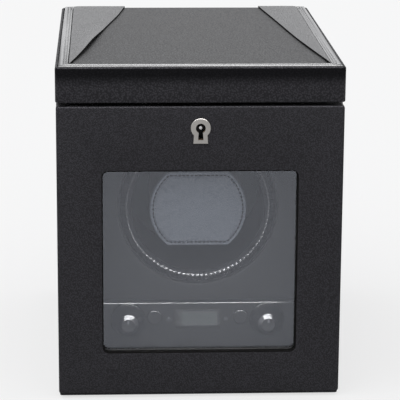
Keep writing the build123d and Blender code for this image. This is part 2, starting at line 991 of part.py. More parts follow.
def button(x):
    """A domed cap with a flange behind the console's wall and a stem for the switch."""
    front = console_y - button_proud
    flange_y = console_y + console_wall + slip_gap
    cap = rod_y(button_radius, front, flange_y, x, button_z)
    cap = fillet(cap.faces().sort_by(Axis.Y)[0].edges(), button_proud / 2)
    cap += rod_y(button_flange_radius, flange_y, flange_y + button_flange, x, button_z)
    stem_end = control_board_y() - switch_height - button_travel - slip_gap
    return cap + rod_y(switch_half / 2, flange_y, stem_end, x, button_z)


def build_controls():
    left_knob_x, right_knob_x = control_xs(knob_spacing)
    left_button_x, right_button_x = control_xs(button_spacing)
    return {
        "left_knob": knob(left_knob_x),
        "right_knob": knob(right_knob_x),
        "left_button": button(left_button_x),
        "right_button": button(right_button_x),
    }


# Door, with its window and lock


def door_plate(inset, y0, y1):
    """The door's outline, drawn in by an inset, as a plate."""
    low = floor_z + slip_gap + inset
    high = top_z - inset
    corner = max(door_corner - inset, leather / 2)
    outline = RectangleRounded(case_width - 2 * inset, high - low, corner)
    return plate_y(outline, y0, y1, 0, (low + high) / 2)


def window_plate(margin, y0, y1):
    outline = RectangleRounded(
        window_width + 2 * margin, window_height + 2 * margin, window_corner + margin
    )
    return plate_y(outline, y0, y1, 0, window_z)


def keyhole(y0, y1, room=0.0):
    """A round hole over a slot that widens downwards."""
    slot = Polygon(
        (-key_neck_half - room, 0),
        (-key_foot_half - room, -key_slot_drop - room),
        (key_foot_half + room, -key_slot_drop - room),
        (key_neck_half + room, 0),
        align=None,
    )
    return plate_y(Circle(key_radius + room) + slot, y0, y1, 0, key_z)


def escutcheon():
    skirt = Polygon(
        (-escutcheon_neck_half, 0),
        (-escutcheon_foot_half, -escutcheon_foot),
        (escutcheon_foot_half, -escutcheon_foot),
        (escutcheon_neck_half, 0),
        align=None,
    )
    plate = plate_y(Circle(escutcheon_radius) + skirt, front_y - escutcheon_proud, front_y, 0, key_z)
    plate = chamfer(plate.faces().sort_by(Axis.Y)[0].edges(), escutcheon_proud / 4)
    return plate - keyhole(front_y - 2 * escutcheon_proud, front_y + overshoot)


def lock_block(inset, y0, y1):
    low = key_z - lock_below_key + inset
    half = lock_half_width - inset
    return block(-half, half, y0, y1, low, top_z - selvedge_thickness)


def selvedge():
    return block(
        -selvedge_half_width,
        selvedge_half_width,
        behind(leather),
        behind(lock_depth_back),
        top_z - selvedge_thickness,
        top_z,
    )


def lock_screws():
    x = (lock_half_width + selvedge_half_width) / 2
    y = behind((leather + lock_depth_back) / 2)
    return [screw_down(side * x, y, top_z) for side in (-1, 1)]


def bolt_y():
    return behind(lock_depth_front + lock_wall + slip_gap)


def lock_case():
    """A flat box with a top plate, a keyhole, a key post and a slot for the bolt."""
    front = behind(lock_depth_front)
    back = behind(lock_depth_back)
    case = lock_block(0, front, back) - lock_block(lock_wall, front + lock_wall, back - lock_wall)
    case -= keyhole(front - overshoot, front + lock_wall + slip_gap, slip_gap)
    case += rod_y(key_post_radius, behind(key_post_setback), back - lock_wall / 2, 0, key_z)
    case += selvedge()
    slot_half = bolt_tongue_half + slip_gap
    y = bolt_y()
    case -= block(
        -slot_half,
        slot_half,
        y - slip_gap,
        y + bolt_thickness + slip_gap,
        top_z - 2 * selvedge_thickness,
        top_z + overshoot,
    )
    return cut(case, lock_screws())


def lock_bolt():
    """A plate with a tongue at the top and a slot that clears the key post."""
    y = bolt_y()
    shoulder = top_z - selvedge_thickness - bolt_travel - slip_gap
    low = key_z - lock_below_key + lock_wall + slip_gap
    body = block(-bolt_half_width, bolt_half_width, y, y + bolt_thickness, low, shoulder)
    tongue_top = top_z - bolt_flush
    body += block(
        -bolt_tongue_half, bolt_tongue_half, y, y + bolt_thickness, shoulder, tongue_top
    )
    radius = key_post_radius + move_gap
    end = y + bolt_thickness + overshoot
    body -= rod_y(radius, y - overshoot, end, 0, key_z)
    return body - block(
        -radius, radius, y - overshoot, end, key_z - bolt_travel - radius, key_z
    )


def build_door():
    back = behind(door_thickness)
    board_end = behind(door_thickness - lining)
    outer = door_plate(0, front_y, back)
    outer = fillet(outer.faces().sort_by(Axis.Y)[0].edges(), door_edge_round)
    reveal = window_plate(leather, front_y, glass_y)
    core = door_plate(leather, behind(leather), back + overshoot) - reveal
    key_cut = keyhole(front_y - overshoot, behind(lock_depth_front), slip_gap)
    lock_seat = [
        lock_block(0, behind(lock_depth_front), behind(lock_depth_back)),
        selvedge(),
        key_cut,
        *lock_screws(),
    ]
    skin = outer - core - window_plate(0, front_y - overshoot, glass_y + overshoot)
    skin = cut(skin, lock_seat)
    rebate = window_plate(glass_lap + gasket_wall, glass_y, board_end)
    wood = core & block(-half_width, half_width, front_y, board_end, 0, top_z)
    wood = cut(wood - rebate, lock_seat)
    glass = window_plate(glass_lap, glass_y, glass_y + glass_thickness)
    gasket = rebate - glass - window_plate(leather, front_y, back)
    liner = door_plate(leather, board_end, back) - window_plate(leather, front_y, back + overshoot)
    return {
        "door_board": wood,
        "door_leather": skin,
        "door_glass": glass,
        "glass_gasket": gasket,
        "door_lining": liner,
        "escutcheon": escutcheon(),
        "lock_case": lock_case(),
        "lock_screws": lock_screws(),
        "lock_bolt": lock_bolt(),
    }


# Lid


def lid_front_y():
    return front_y - lid_overhang


def lid_half():
    return half_width + lid_overhang


def lid_block(inset, z0, z1, corner=0.0, top_round=0.0):
    """A block over the lid's footprint, drawn in by an inset on all sides."""
    half = lid_half() - inset
    sides = (-half, half, lid_front_y() + inset, back_y - inset, z0, z1)
    return upright_block(*sides, corner, top_round) if corner else block(*sides)


def strike_spots():
    """The strike plate's slot: over the bolt, with room in front and behind."""
    y = bolt_y()
    return y - 2 * move_gap, y + bolt_thickness + 2 * move_gap


def strike_edges():
    """The strike plate's front and back edges, inside the lid's front rail."""
    return lid_front_y() + leather + strike_margin, lid_front_y() + leather + board - strike_margin


def strike_plate():
    start, end = strike_spots()
    front, rear = strike_edges()
    plate = block(
        -strike_half_width, strike_half_width, front, rear, lid_z, lid_z + strike_thickness
    )
    half = bolt_tongue_half + 2 * move_gap
    plate -= block(-half, half, start, end, lid_z - overshoot, lid_z + 2 * strike_thickness)
    return cut(plate, strike_screws())


def strike_screws():
    x = strike_half_width - 2 * screw_head_radius
    y = sum(strike_edges()) / 2
    return [screw_up(side * x, y, lid_z) for side in (-1, 1)]


def strike_seat():
    """The rail's cut for the strike plate and the bolt."""
    start, end = strike_spots()
    front, rear = strike_edges()
    half = bolt_tongue_half + 2 * move_gap
    low = lid_z - overshoot
    plate = block(-strike_half_width, strike_half_width, front, rear, low, lid_z + strike_thickness)
    return [plate, block(-half, half, start, end, lid_z, lid_z + bolt_travel + overshoot)]


def field_block(z0, z1):
    return lid_block(border_inset + border_width, z0, z1)


def lid_flap(side, width):
    """A flat three-cornered flap whose long edge runs from the front corner to the back."""
    half = lid_half() - border_inset - border_width
    front = lid_front_y() + border_inset + border_width
    back = back_y - border_inset - border_width
    base_z = lid_top_z - border_height + field_thickness
    outline = Polygon(
        (side * half, front),
        (side * (half - flap_front_margin), front),
        (side * (half - width), back),
        (side * half, back),
        align=None,
    )
    return Pos(0, 0, base_z) * extrude(outline, flap_thickness, dir=(0, 0, 1))


def build_lid():
    board_top = lid_top_z - border_height
    board_low = board_top - board
    skin_top = lid_top_z - border_height / 4
    rail_inset = leather + board
    pockets = hinge_pockets()
    screws = [*hinge_screws(of_lid=True), *strike_screws()]
    outer = lid_block(0, lid_z, skin_top, case_corner, lid_edge_round)
    core = lid_block(leather, lid_z + leather, board_top, case_corner - leather)
    mouth = lid_block(rail_inset, lid_z - overshoot, board_low)
    skin = outer - core - mouth - lid_block(border_inset, board_top, lid_top_z + overshoot)
    top_board = core & lid_block(0, board_low, board_top)
    rails = core & lid_block(0, lid_z, board_low)
    seats = [*pockets, *strike_seat(), *screws]
    border = lid_block(border_inset, board_top, lid_top_z)
    top_edges = border.faces().sort_by(Axis.Z)[-1].edges()
    border = fillet(top_edges, border_round) - field_block(board_top - overshoot, lid_top_z + 1)
    inner_edges = border.faces().sort_by(Axis.Z)[-1].edges().sort_by(
        lambda edge: abs(edge.center().X) + abs(edge.center().Y)
    )[:4]
    border = fillet(inner_edges, border_round)
    field = field_block(board_top, board_top + field_thickness)
    field = fillet(field.faces().sort_by(Axis.Z)[-1].edges(), field_round)
    pad = mouth & lid_block(rail_inset, lid_z + leather, board_low)
    pad -= lid_block(rail_inset + lining, lid_z - overshoot, board_low - lid_pad)
    return {
        "lid_board": top_board,
        "lid_rails": cut(rails - mouth, seats),
        "lid_leather": cut(skin, seats),
        "lid_border": border,
        "lid_field": field,
        "lid_left_flap": lid_flap(-1, left_flap_width),
        "lid_right_flap": lid_flap(1, right_flap_width),
        "lid_lining": pad,
        "strike_plate": strike_plate(),
        "lid_hinge_leaves": hinge_leaves(of_lid=True),
        "lid_screws": screws,
    }


def solids_of(shape):
    """The separate solids of a shape or of a list of shapes."""
    shapes = shape if isinstance(shape, list) else [shape]
    return [solid for one in shapes for solid in one.solids()]


def write_parts(nodes):
    os.makedirs("parts", exist_ok=True)
    for name, shape in nodes.items():
        solids = solids_of(shape)
        piece = solids[0] if len(solids) == 1 else Compound(children=solids)
        export_step(piece, f"parts/{name}.step")


write_parts(
    {**build_case(), **build_module(), **build_drum(), **build_controls(), **build_door(), **build_lid()}
)
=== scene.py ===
import math
import bpy
from mathutils import Euler, Matrix, Vector, noise


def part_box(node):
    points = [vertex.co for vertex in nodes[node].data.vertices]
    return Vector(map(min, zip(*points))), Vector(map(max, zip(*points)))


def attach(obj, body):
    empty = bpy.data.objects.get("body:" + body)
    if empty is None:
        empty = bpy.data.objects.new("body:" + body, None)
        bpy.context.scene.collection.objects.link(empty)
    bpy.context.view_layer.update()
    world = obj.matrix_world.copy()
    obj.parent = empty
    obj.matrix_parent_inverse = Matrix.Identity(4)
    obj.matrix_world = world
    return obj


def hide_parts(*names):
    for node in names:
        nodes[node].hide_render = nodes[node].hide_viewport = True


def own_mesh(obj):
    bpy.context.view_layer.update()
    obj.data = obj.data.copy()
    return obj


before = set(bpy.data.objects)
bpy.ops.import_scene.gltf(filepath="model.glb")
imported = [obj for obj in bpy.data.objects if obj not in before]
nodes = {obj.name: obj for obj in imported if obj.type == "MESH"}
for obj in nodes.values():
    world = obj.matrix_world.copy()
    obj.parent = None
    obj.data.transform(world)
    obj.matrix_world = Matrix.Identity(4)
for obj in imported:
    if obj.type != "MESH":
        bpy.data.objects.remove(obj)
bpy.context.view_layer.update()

mm = 0.001
scene = bpy.context.scene


cameraSettings = {
    "place": (-52.1, -1137.0, 376.3),
    "pitch": 14.312,
    "yaw": 2.881,
    "roll": 0.352,
    "lens": 177.4,
}

stageSettings = {
    "floorHalf": 4.0,
    "floorColor": (0.20, 0.20, 0.20),
    "floorGlow": 0.675,
    "skyColor": (0.98, 0.985, 1.0),
    "skyBase": 0.95,
    "skyLobe": 0.9,
    "skyToward": (-0.55, -0.5, 0.67),
    "boxPlace": (0.1, -0.72, 1.25),
    "boxSize": (2.2, 0.75),
    "boxPower": 64.0,
}


def makeCamera(settings):
    data = bpy.data.cameras.new("viewCamera")
    data.sensor_width = 36.0
    data.lens = settings["lens"]
    data.clip_end = 20.0
    camera = bpy.data.objects.new("viewCamera", data)
    scene.collection.objects.link(camera)
    turn = Euler((math.radians(90 - settings["pitch"]), 0, -math.radians(settings["yaw"])))
    turned = turn.to_matrix() @ Matrix.Rotation(math.radians(settings["roll"]), 3, "Z")
    camera.matrix_world = Matrix.Translation(Vector(settings["place"]) * mm) @ turned.to_4x4()
    scene.camera = camera


def makeSky(settings):
    # an even white surround that brightens smoothly towards the upper left front
    world = bpy.data.worlds.new("studioWorld")
    scene.world = world
    world.use_nodes = True
    tree = world.node_tree
    sky = tree.nodes["Background"]
    sky.inputs["Color"].default_value = (*settings["skyColor"], 1)
    direction = tree.nodes.new("ShaderNodeTexCoord").outputs["Generated"]
    facing = tree.nodes.new("ShaderNodeVectorMath")
    facing.operation = "DOT_PRODUCT"
    tree.links.new(direction, facing.inputs[0])
    facing.inputs[1].default_value = Vector(settings["skyToward"]).normalized()
    spread = tree.nodes.new("ShaderNodeMapRange")
    spread.interpolation_type = "SMOOTHSTEP"
    tree.links.new(facing.outputs["Value"], spread.inputs["Value"])
    spread.inputs["From Min"].default_value = 0.3
    spread.inputs["To Min"].default_value = settings["skyBase"]
    spread.inputs["To Max"].default_value = settings["skyBase"] + settings["skyLobe"]
    tree.links.new(spread.outputs["Result"], sky.inputs["Strength"])


def makeSoftbox(settings):
    # a wide panel overhead that is seen in polished edges only
    data = bpy.data.lights.new("softbox", "AREA")
    data.shape = "RECTANGLE"
    data.size, data.size_y = settings["boxSize"]
    data.energy = settings["boxPower"]
    light = bpy.data.objects.new("softbox", data)
    scene.collection.objects.link(light)
    light.visible_diffuse = False
    light.location = settings["boxPlace"]
    light.rotation_euler = (Vector((0, 0, 0.09)) - light.location).to_track_quat("-Z", "Y").to_euler()


def makeStage(settings):
    scene.view_settings.view_transform = "Standard"
    makeSky(settings)
    makeSoftbox(settings)
    deselectAll()
    bpy.ops.mesh.primitive_plane_add(size=2 * settings["floorHalf"])
    floor = bpy.context.object
    floor.name = "floorPlane"
    material = bpy.data.materials.new("floorPaint")
    material.use_nodes = True
    shader = material.node_tree.nodes["Principled BSDF"]
    shader.inputs["Base Color"].default_value = (*settings["floorColor"], 1)
    shader.inputs["Roughness"].default_value = 0.9
    shader.inputs["Specular IOR Level"].default_value = 0.0
    shader.inputs["Emission Color"].default_value = (1, 1, 1, 1)
    shader.inputs["Emission Strength"].default_value = settings["floorGlow"]
    floor.data.materials.append(material)


def deselectAll():
    if bpy.context.object and bpy.context.object.mode != "OBJECT":
        bpy.ops.object.mode_set(mode="OBJECT")
    bpy.ops.object.select_all(action="DESELECT")


def makeActive(piece):
    deselectAll()
    piece.select_set(True)
    bpy.context.view_layer.objects.active = piece


def openEdit(piece):
    makeActive(piece)
    bpy.ops.object.mode_set(mode="EDIT")


def closeEdit():
    bpy.ops.object.mode_set(mode="OBJECT")


def setDown(piece, name):
    # place, turn and size go into the mesh
    makeActive(piece)
    bpy.ops.object.transform_apply(location=True, rotation=True, scale=True)
    piece.name = name
    piece.data.name = name
    return piece


def addBox(name, low, high):
    low, high = Vector(low) * mm, Vector(high) * mm
    deselectAll()
    bpy.ops.mesh.primitive_cube_add(size=1, location=(low + high) / 2, scale=high - low)
    return setDown(bpy.context.object, name)


def addRod(name, radius, start, end, sides=48):
    start, end = Vector(start) * mm, Vector(end) * mm
    deselectAll()
    bpy.ops.mesh.primitive_cylinder_add(
        vertices=sides,
        radius=radius * mm,
        depth=(end - start).length,
        location=(start + end) / 2,
        rotation=(end - start).to_track_quat("Z", "Y").to_euler(),
    )
    return setDown(bpy.context.object, name)


def pick(piece, kind, test):
    # selects what passes the test by its middle, in millimetres, and stays in edit mode
    openEdit(piece)
    bpy.ops.mesh.select_mode(type=kind)
    bpy.ops.mesh.select_all(action="DESELECT")
    closeEdit()
    mesh = piece.data
    if kind == "FACE":
        for face in mesh.polygons:
            face.select = bool(test(face.center / mm, face.normal))
    elif kind == "EDGE":
        for edge in mesh.edges:
            a, b = (mesh.vertices[i].co / mm for i in edge.vertices)
            edge.select = bool(test((a + b) / 2, (b - a).normalized()))
    else:
        for corner in mesh.vertices:
            corner.select = bool(test(corner.co / mm, corner.normal))
    bpy.ops.object.mode_set(mode="EDIT")


def bevelEdges(piece, test, width, segments=4):
    pick(piece, "EDGE", test)
    bpy.ops.mesh.bevel(offset=width * mm, segments=segments, affect="EDGES", clamp_overlap=True)
    closeEdit()


def useModifier(piece, kind, **settings):
    makeActive(piece)
    modifier = piece.modifiers.new(kind.lower(), kind)
    for key, value in settings.items():
        setattr(modifier, key, value)
    bpy.ops.object.modifier_apply(modifier=modifier.name)
    return piece


def carve(piece, *tools):
    for tool in tools:
        useModifier(piece, "BOOLEAN", object=tool, operation="DIFFERENCE", solver="EXACT")
        bpy.data.objects.remove(tool)
    return piece


def softenEdges(piece, width, segments=3, angle=35):
    return useModifier(
        piece,
        "BEVEL",
        width=width * mm,
        segments=segments,
        limit_method="ANGLE",
        angle_limit=math.radians(angle),
        harden_normals=False,
    )


def joinPieces(name, pieces):
    bpy.context.view_layer.update()
    makeActive(pieces[0])
    for piece in pieces:
        piece.select_set(True)
    bpy.ops.object.join()
    return setDown(bpy.context.object, name)


def smoothByAngle(piece, angle=35):
    makeActive(piece)
    bpy.ops.object.shade_smooth_by_angle(angle=math.radians(angle))
    return piece


def facesOutward(piece):
    openEdit(piece)
    bpy.ops.mesh.select_all(action="SELECT")
    bpy.ops.mesh.remove_doubles(threshold=0.01 * mm)
    bpy.ops.mesh.normals_make_consistent(inside=False)
    closeEdit()
    return piece


def finishPiece(piece, body, material, stands=(), angle=35):
    smoothByAngle(piece, angle)
    piece.data.materials.clear()
    piece.data.materials.append(material)
    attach(piece, body)
    if stands:
        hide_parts(*stands)
    return piece


def low(node):
    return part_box(node)[0] / mm


def high(node):
    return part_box(node)[1] / mm


def smoothStep(t):
    t = min(max(t, 0.0), 1.0)
    return t * t * (3 - 2 * t)


class Shading:
    def __init__(self, name):
        self.material = bpy.data.materials.new(name)
        self.material.use_nodes = True
        self.tree = self.material.node_tree
        self.shader = self.tree.nodes["Principled BSDF"]
        self.coords = self.tree.nodes.new("ShaderNodeTexCoord").outputs["Object"]

    def add(self, kind, inputs=(), **settings):
        node = self.tree.nodes.new(kind)
        for key, value in settings.items():
            setattr(node, key, value)
        for key, value in dict(inputs).items():
            if isinstance(value, bpy.types.NodeSocket):
                self.tree.links.new(value, node.inputs[key])
            else:
                node.inputs[key].default_value = value
        return node

    def setShader(self, **values):
        for key, value in values.items():
            self.shader.inputs[shaderSockets[key]].default_value = value

    def join(self, socket, name):
        self.tree.links.new(socket, self.shader.inputs[name])

    def noise(self, scale, detail=3.0, roughness=0.55, vector=None):
        vector = vector or self.coords
        inputs = {"Vector": vector, "Scale": scale, "Detail": detail, "Roughness": roughness}
        return self.add("ShaderNodeTexNoise", inputs).outputs["Fac"]

    def cells(self, scale, feature="F1", vector=None):
        inputs = {"Vector": vector or self.coords, "Scale": scale}
        return self.add("ShaderNodeTexVoronoi", inputs, feature=feature).outputs["Distance"]

    def between(self, value, low, high, toLow=0.0, toHigh=1.0):
        inputs = {"Value": value, "From Min": low, "From Max": high, "To Min": toLow, "To Max": toHigh}
        return self.add("ShaderNodeMapRange", inputs, interpolation_type="SMOOTHSTEP").outputs["Result"]

    def math(self, operation, a, b):
        return self.add("ShaderNodeMath", {0: a, 1: b}, operation=operation).outputs[0]

    def blendColors(self, factor, first, second):
        node = self.add("ShaderNodeMix", {"Factor": factor}, data_type="RGBA")
        node.inputs[6].default_value = (*first, 1)
        node.inputs[7].default_value = (*second, 1)
        return node.outputs[2]

    def bump(self, height, strength, distance):
        inputs = {"Height": height, "Strength": strength, "Distance": distance * mm}
        self.join(self.add("ShaderNodeBump", inputs).outputs["Normal"], "Normal")


shaderSockets = {
    "metallic": "Metallic",
    "roughness": "Roughness",
    "ior": "IOR",
    "specular": "Specular IOR Level",
    "coat": "Coat Weight",
    "coatRoughness": "Coat Roughness",
    "sheen": "Sheen Weight",
    "sheenRoughness": "Sheen Roughness",
    "transmission": "Transmission Weight",
}


def makeLeather(name, dark, light, grain, depth, roughness, shine=(0.25, 0.25), tint=(1, 1, 1), paintedShadeBand=None):
    # pebbles: rounded cells with narrow dull valleys, broken up by a fine wrinkle
    paint = Shading(name)
    bend = paint.noise(grain * 0.5, 2.0)
    pebbles = paint.cells(grain)
    fine = paint.noise(grain * 2.2, 3.0, 0.6)
    wide = paint.noise(45.0, 3.0, 0.5)
    rounded = paint.between(pebbles, 0.15, 0.75, 1.0, 0.0)
    height = paint.math("ADD", rounded, paint.math("MULTIPLY", fine, 0.35))
    height = paint.math("ADD", height, paint.math("MULTIPLY", bend, 0.3))
    worn = paint.between(wide, 0.3, 0.7, 0.85, 1.0)
    tone = paint.math("MULTIPLY", paint.between(rounded, 0.1, 0.9), worn)
    gleam = paint.math("MULTIPLY", rounded, paint.between(fine, 0.35, 0.65, 0.7, 1.2))
    gleam = paint.between(gleam, 0.1, 0.9, *shine)
    if paintedShadeBand:
        # painted shade: darker and less shiny from one height up to the next, and clear again above the
        # third
        start, end, clear, amount = paintedShadeBand
        upright = paint.add("ShaderNodeSeparateXYZ", {0: paint.coords}).outputs[2]
        paintedShadeFactor = paint.between(upright, start * mm, end * mm, 1.0, amount)
        back = paint.between(upright, clear * mm, (clear + 0.5) * mm, 0.0, 1.0 - amount)
        paintedShadeFactor = paint.math("ADD", paintedShadeFactor, back)
        tone = paint.math("MULTIPLY", tone, paintedShadeFactor)
        gleam = paint.math("MULTIPLY", gleam, paintedShadeFactor)
    paint.join(paint.blendColors(tone, dark, light), "Base Color")
    paint.join(paint.between(rounded, 0.0, 1.0, roughness + 0.14, roughness), "Roughness")
    paint.join(gleam, "Specular IOR Level")
    paint.shader.inputs["Specular Tint"].default_value = (*tint, 1)
    paint.bump(height, 0.55, depth)
    return paint.material


def makeSuede(name, dark, light, scale=420.0, sheen=0.35, shine=0.15):
    paint = Shading(name)
    nap = paint.noise(scale, 4.0, 0.7)
    patches = paint.noise(40.0, 3.0, 0.6)
    tone = paint.math("MULTIPLY", paint.between(nap, 0.25, 0.75), paint.between(patches, 0.3, 0.7, 0.5, 1.0))
    paint.join(paint.blendColors(tone, dark, light), "Base Color")
    paint.setShader(roughness=0.95, specular=shine, sheen=sheen, sheenRoughness=0.4)
    paint.bump(nap, 0.5, 0.12)
    return paint.material


def makePlastic(name, dark, light, roughness, texture, depth, coat=0.0, strength=0.3, shine=0.5):
    paint = Shading(name)
    spark = paint.noise(texture, 3.0, 0.6)
    wear = paint.noise(30.0, 4.0, 0.6)
    paint.join(paint.blendColors(wear, dark, light), "Base Color")
    paint.join(paint.between(wear, 0.2, 0.8, roughness, roughness + 0.1), "Roughness")
    paint.setShader(coat=coat, coatRoughness=0.08, specular=shine)
    paint.bump(spark, strength, depth)
    return paint.material


def makeMetal(name, dark, light, roughness, stretch=(1, 1, 1), scale=400.0, depth=0.02):
    paint = Shading(name)
    mapping = paint.add("ShaderNodeMapping", {"Vector": paint.coords, "Scale": stretch}).outputs[0]
    lines = paint.noise(scale, 4.0, 0.65, mapping)
    tarnish = paint.noise(60.0, 3.0, 0.5)
    paint.join(paint.blendColors(tarnish, dark, light), "Base Color")
    paint.join(paint.between(lines, 0.2, 0.8, roughness * 0.8, roughness * 1.25), "Roughness")
    paint.setShader(metallic=1.0)
    paint.bump(lines, 0.35, depth)
    return paint.material


def makeBoard(name, dark, light):
    paint = Shading(name)
    fibres = paint.noise(700.0, 5.0, 0.75)
    flecks = paint.noise(120.0, 4.0, 0.6)
    tone = paint.math("MULTIPLY", fibres, paint.between(flecks, 0.3, 0.7, 0.6, 1.2))
    paint.join(paint.blendColors(tone, dark, light), "Base Color")
    paint.setShader(roughness=0.85, specular=0.2)
    paint.bump(fibres, 0.4, 0.1)
    return paint.material


def makeGlass(name, color, roughness, ior=1.5, tint=(1, 1, 1)):
    # clear to soft light, so that it reaches what is behind, and glass to the eye
    paint = Shading(name)
    smudge = paint.noise(18.0, 4.0, 0.6)
    paint.join(paint.between(smudge, 0.35, 0.75, roughness, roughness + 0.02), "Roughness")
    paint.shader.inputs["Base Color"].default_value = (*color, 1)
    paint.shader.inputs["Specular Tint"].default_value = (*tint, 1)
    paint.setShader(ior=ior, transmission=1.0)
    path = paint.add("ShaderNodeLightPath")
    soft = paint.math("MAXIMUM", path.outputs["Is Shadow Ray"], path.outputs["Is Diffuse Ray"])
    clear = paint.add("ShaderNodeBsdfTransparent")
    both = paint.add("ShaderNodeMixShader", {0: soft})
    paint.tree.links.new(paint.shader.outputs[0], both.inputs[1])
    paint.tree.links.new(clear.outputs[0], both.inputs[2])
    paint.tree.links.new(both.outputs[0], paint.tree.nodes["Material Output"].inputs["Surface"])
    return paint.material


def makeScreen(name, dark, light, rim, low, high):
    # a plain reflective display that is switched off, with a darker rim round its cells
    paint = Shading(name)
    wash = paint.noise(90.0, 2.0, 0.5)
    waves = {"Vector": paint.coords, "Scale": 900.0}
    rows = paint.add("ShaderNodeTexWave", waves, bands_direction="Z").outputs["Fac"]
    tone = paint.math("MULTIPLY", wash, paint.between(rows, 0.0, 1.0, 0.85, 1.0))
    axes = paint.add("ShaderNodeSeparateXYZ", {0: paint.coords}).outputs
    inside = None
    for axis, start, end in ((0, low[0], high[0]), (2, low[1], high[1])):
        after = paint.between(axes[axis], (start - 0.3) * mm, (start + 0.3) * mm)
        before = paint.between(axes[axis], (end - 0.3) * mm, (end + 0.3) * mm, 1.0, 0.0)
        both = paint.math("MULTIPLY", after, before)
        inside = paint.math("MULTIPLY", inside, both) if inside else both
    cells = paint.blendColors(tone, dark, light)
    whole = paint.add("ShaderNodeMix", {"Factor": inside}, data_type="RGBA")
    whole.inputs[6].default_value = (*rim, 1)
    paint.tree.links.new(cells, whole.inputs[7])
    paint.join(whole.outputs[2], "Base Color")
    paint.setShader(roughness=0.35)
    return paint.material


blue = (0.93, 0.90, 1.0)
leatherBlack = makeLeather(
    "leatherBlack", (0.007, 0.007, 0.0075), (0.012, 0.012, 0.0140), 1500.0, 0.11, 0.46, (0.14, 0.25), blue
)
# leatherLid carries a painted shade band on the lid's front: darker and less shiny from 174 mm up to 182 mm,
# clear above 184.9 mm
leatherLid = makeLeather(
    "leatherLid", (0.004, 0.004, 0.0045), (0.011, 0.011, 0.0125), 1000.0, 0.16, 0.42, (0.16, 0.28), blue,
    (174.0, 182.0, 184.9, 0.12),
)
leatherTop = makeLeather(
    "leatherTop", (0.014, 0.014, 0.015), (0.026, 0.026, 0.028), 1100.0, 0.08, 0.42, (0.40, 0.55)
)
leatherFold = makeLeather(
    "leatherFold", (0.018, 0.018, 0.019), (0.028, 0.028, 0.030), 1300.0, 0.015, 0.20, (0.50, 0.56),
    (0.98, 0.97, 1.0),
)
# near-black matte suede without sheen: dyed cut edges, and painted shade in the window's reveal and along
# the flaps' edges
dyedEdgeAndShadeBlack = makeSuede("dyedEdgeAndShadeBlack", (0.002, 0.002, 0.002), (0.005, 0.005, 0.005), 1500.0, 0.0, 0.05)
leatherBead = makePlastic(
    "leatherBead", (0.022, 0.022, 0.023), (0.030, 0.030, 0.032), 0.14, 700.0, 0.002, 0.5, 0.1, 0.8
)
leatherCuff = makeLeather(
    "leatherCuff", (0.066, 0.075, 0.092), (0.106, 0.117, 0.134), 1500.0, 0.05, 0.55, (0.25, 0.45)
)
suedeLining = makeSuede("suedeLining", (0.018, 0.018, 0.020), (0.050, 0.050, 0.054))
threadDark = makeSuede("threadDark", (0.002, 0.002, 0.003), (0.005, 0.005, 0.007), 2500.0, 0.0, 0.05)
panelPlastic = makePlastic(
    "panelPlastic", (0.021, 0.021, 0.023), (0.027, 0.027, 0.029), 0.6, 2600.0, 0.002, 0.0, 0.05, 0.1
)
innerPlastic = makePlastic(
    "innerPlastic", (0.036, 0.036, 0.039), (0.050, 0.050, 0.054), 0.6, 1800.0, 0.003, 0.0, 0.1, 0.15
)
bezelPlastic = makePlastic(
    "bezelPlastic", (0.010, 0.010, 0.012), (0.016, 0.016, 0.018), 0.14, 900.0, 0.001, 1.0, 0.03
)
controlPlastic = makePlastic(
    "controlPlastic", (0.010, 0.010, 0.012), (0.016, 0.016, 0.018), 0.14, 1500.0, 0.001, 1.0, 0.03
)
lightPlastic = makePlastic(
    "lightPlastic", (0.024, 0.028, 0.032), (0.034, 0.038, 0.042), 0.3, 900.0, 0.002, 0.0, 0.05
)
pointerPaint = makePlastic(
    "pointerPaint", (0.10, 0.11, 0.12), (0.16, 0.17, 0.18), 0.3, 900.0, 0.002, 0.0, 0.05
)
socketPlastic = makePlastic("socketPlastic", (0.008, 0.008, 0.009), (0.014, 0.014, 0.015), 0.3, 1200.0, 0.02)
boardGreen = makePlastic("boardGreen", (0.01, 0.06, 0.03), (0.02, 0.10, 0.05), 0.3, 1600.0, 0.02)
rubberBlack = makePlastic("rubberBlack", (0.012, 0.012, 0.012), (0.02, 0.02, 0.02), 0.75, 1400.0, 0.05)
leadBlack = makePlastic("leadBlack", (0.01, 0.01, 0.011), (0.016, 0.016, 0.017), 0.5, 900.0, 0.02)
nickelPlate = makeMetal(
    "nickelPlate", (0.25, 0.24, 0.228), (0.32, 0.308, 0.295), 0.34, (1, 1, 6), 500.0, 0.01
)
steelBrushed = makeMetal("steelBrushed", (0.42, 0.42, 0.43), (0.55, 0.55, 0.56), 0.28, (6, 1, 1))
# steelDark: dark steel for the lock parts, made near-black as painted shade that keeps the keyhole's inside
# dark
steelDark = makeMetal("steelDark", (0.010, 0.010, 0.011), (0.022, 0.022, 0.023), 0.4, (6, 1, 1))
brassTurned = makeMetal("brassTurned", (0.50, 0.36, 0.14), (0.66, 0.50, 0.22), 0.3, (1, 6, 1))
motorZinc = makeMetal("motorZinc", (0.45, 0.46, 0.48), (0.60, 0.61, 0.62), 0.35, (1, 1, 1), 200.0)
boardRaw = makeBoard("boardRaw", (0.14, 0.09, 0.05), (0.34, 0.24, 0.15))
windowGlass = makeGlass("windowGlass", (0.97, 0.98, 1.0), 0.0, 1.60, (0.86, 0.90, 1.0))
screenGlass = makeGlass("screenGlass", (0.9, 0.95, 0.95), 0.03)
screenGrey = makeScreen(
    "screenGrey", (0.040, 0.046, 0.046), (0.060, 0.070, 0.070), (0.016, 0.017, 0.018),
    (-8.6, 33.6), (12.0, 43.6),
)

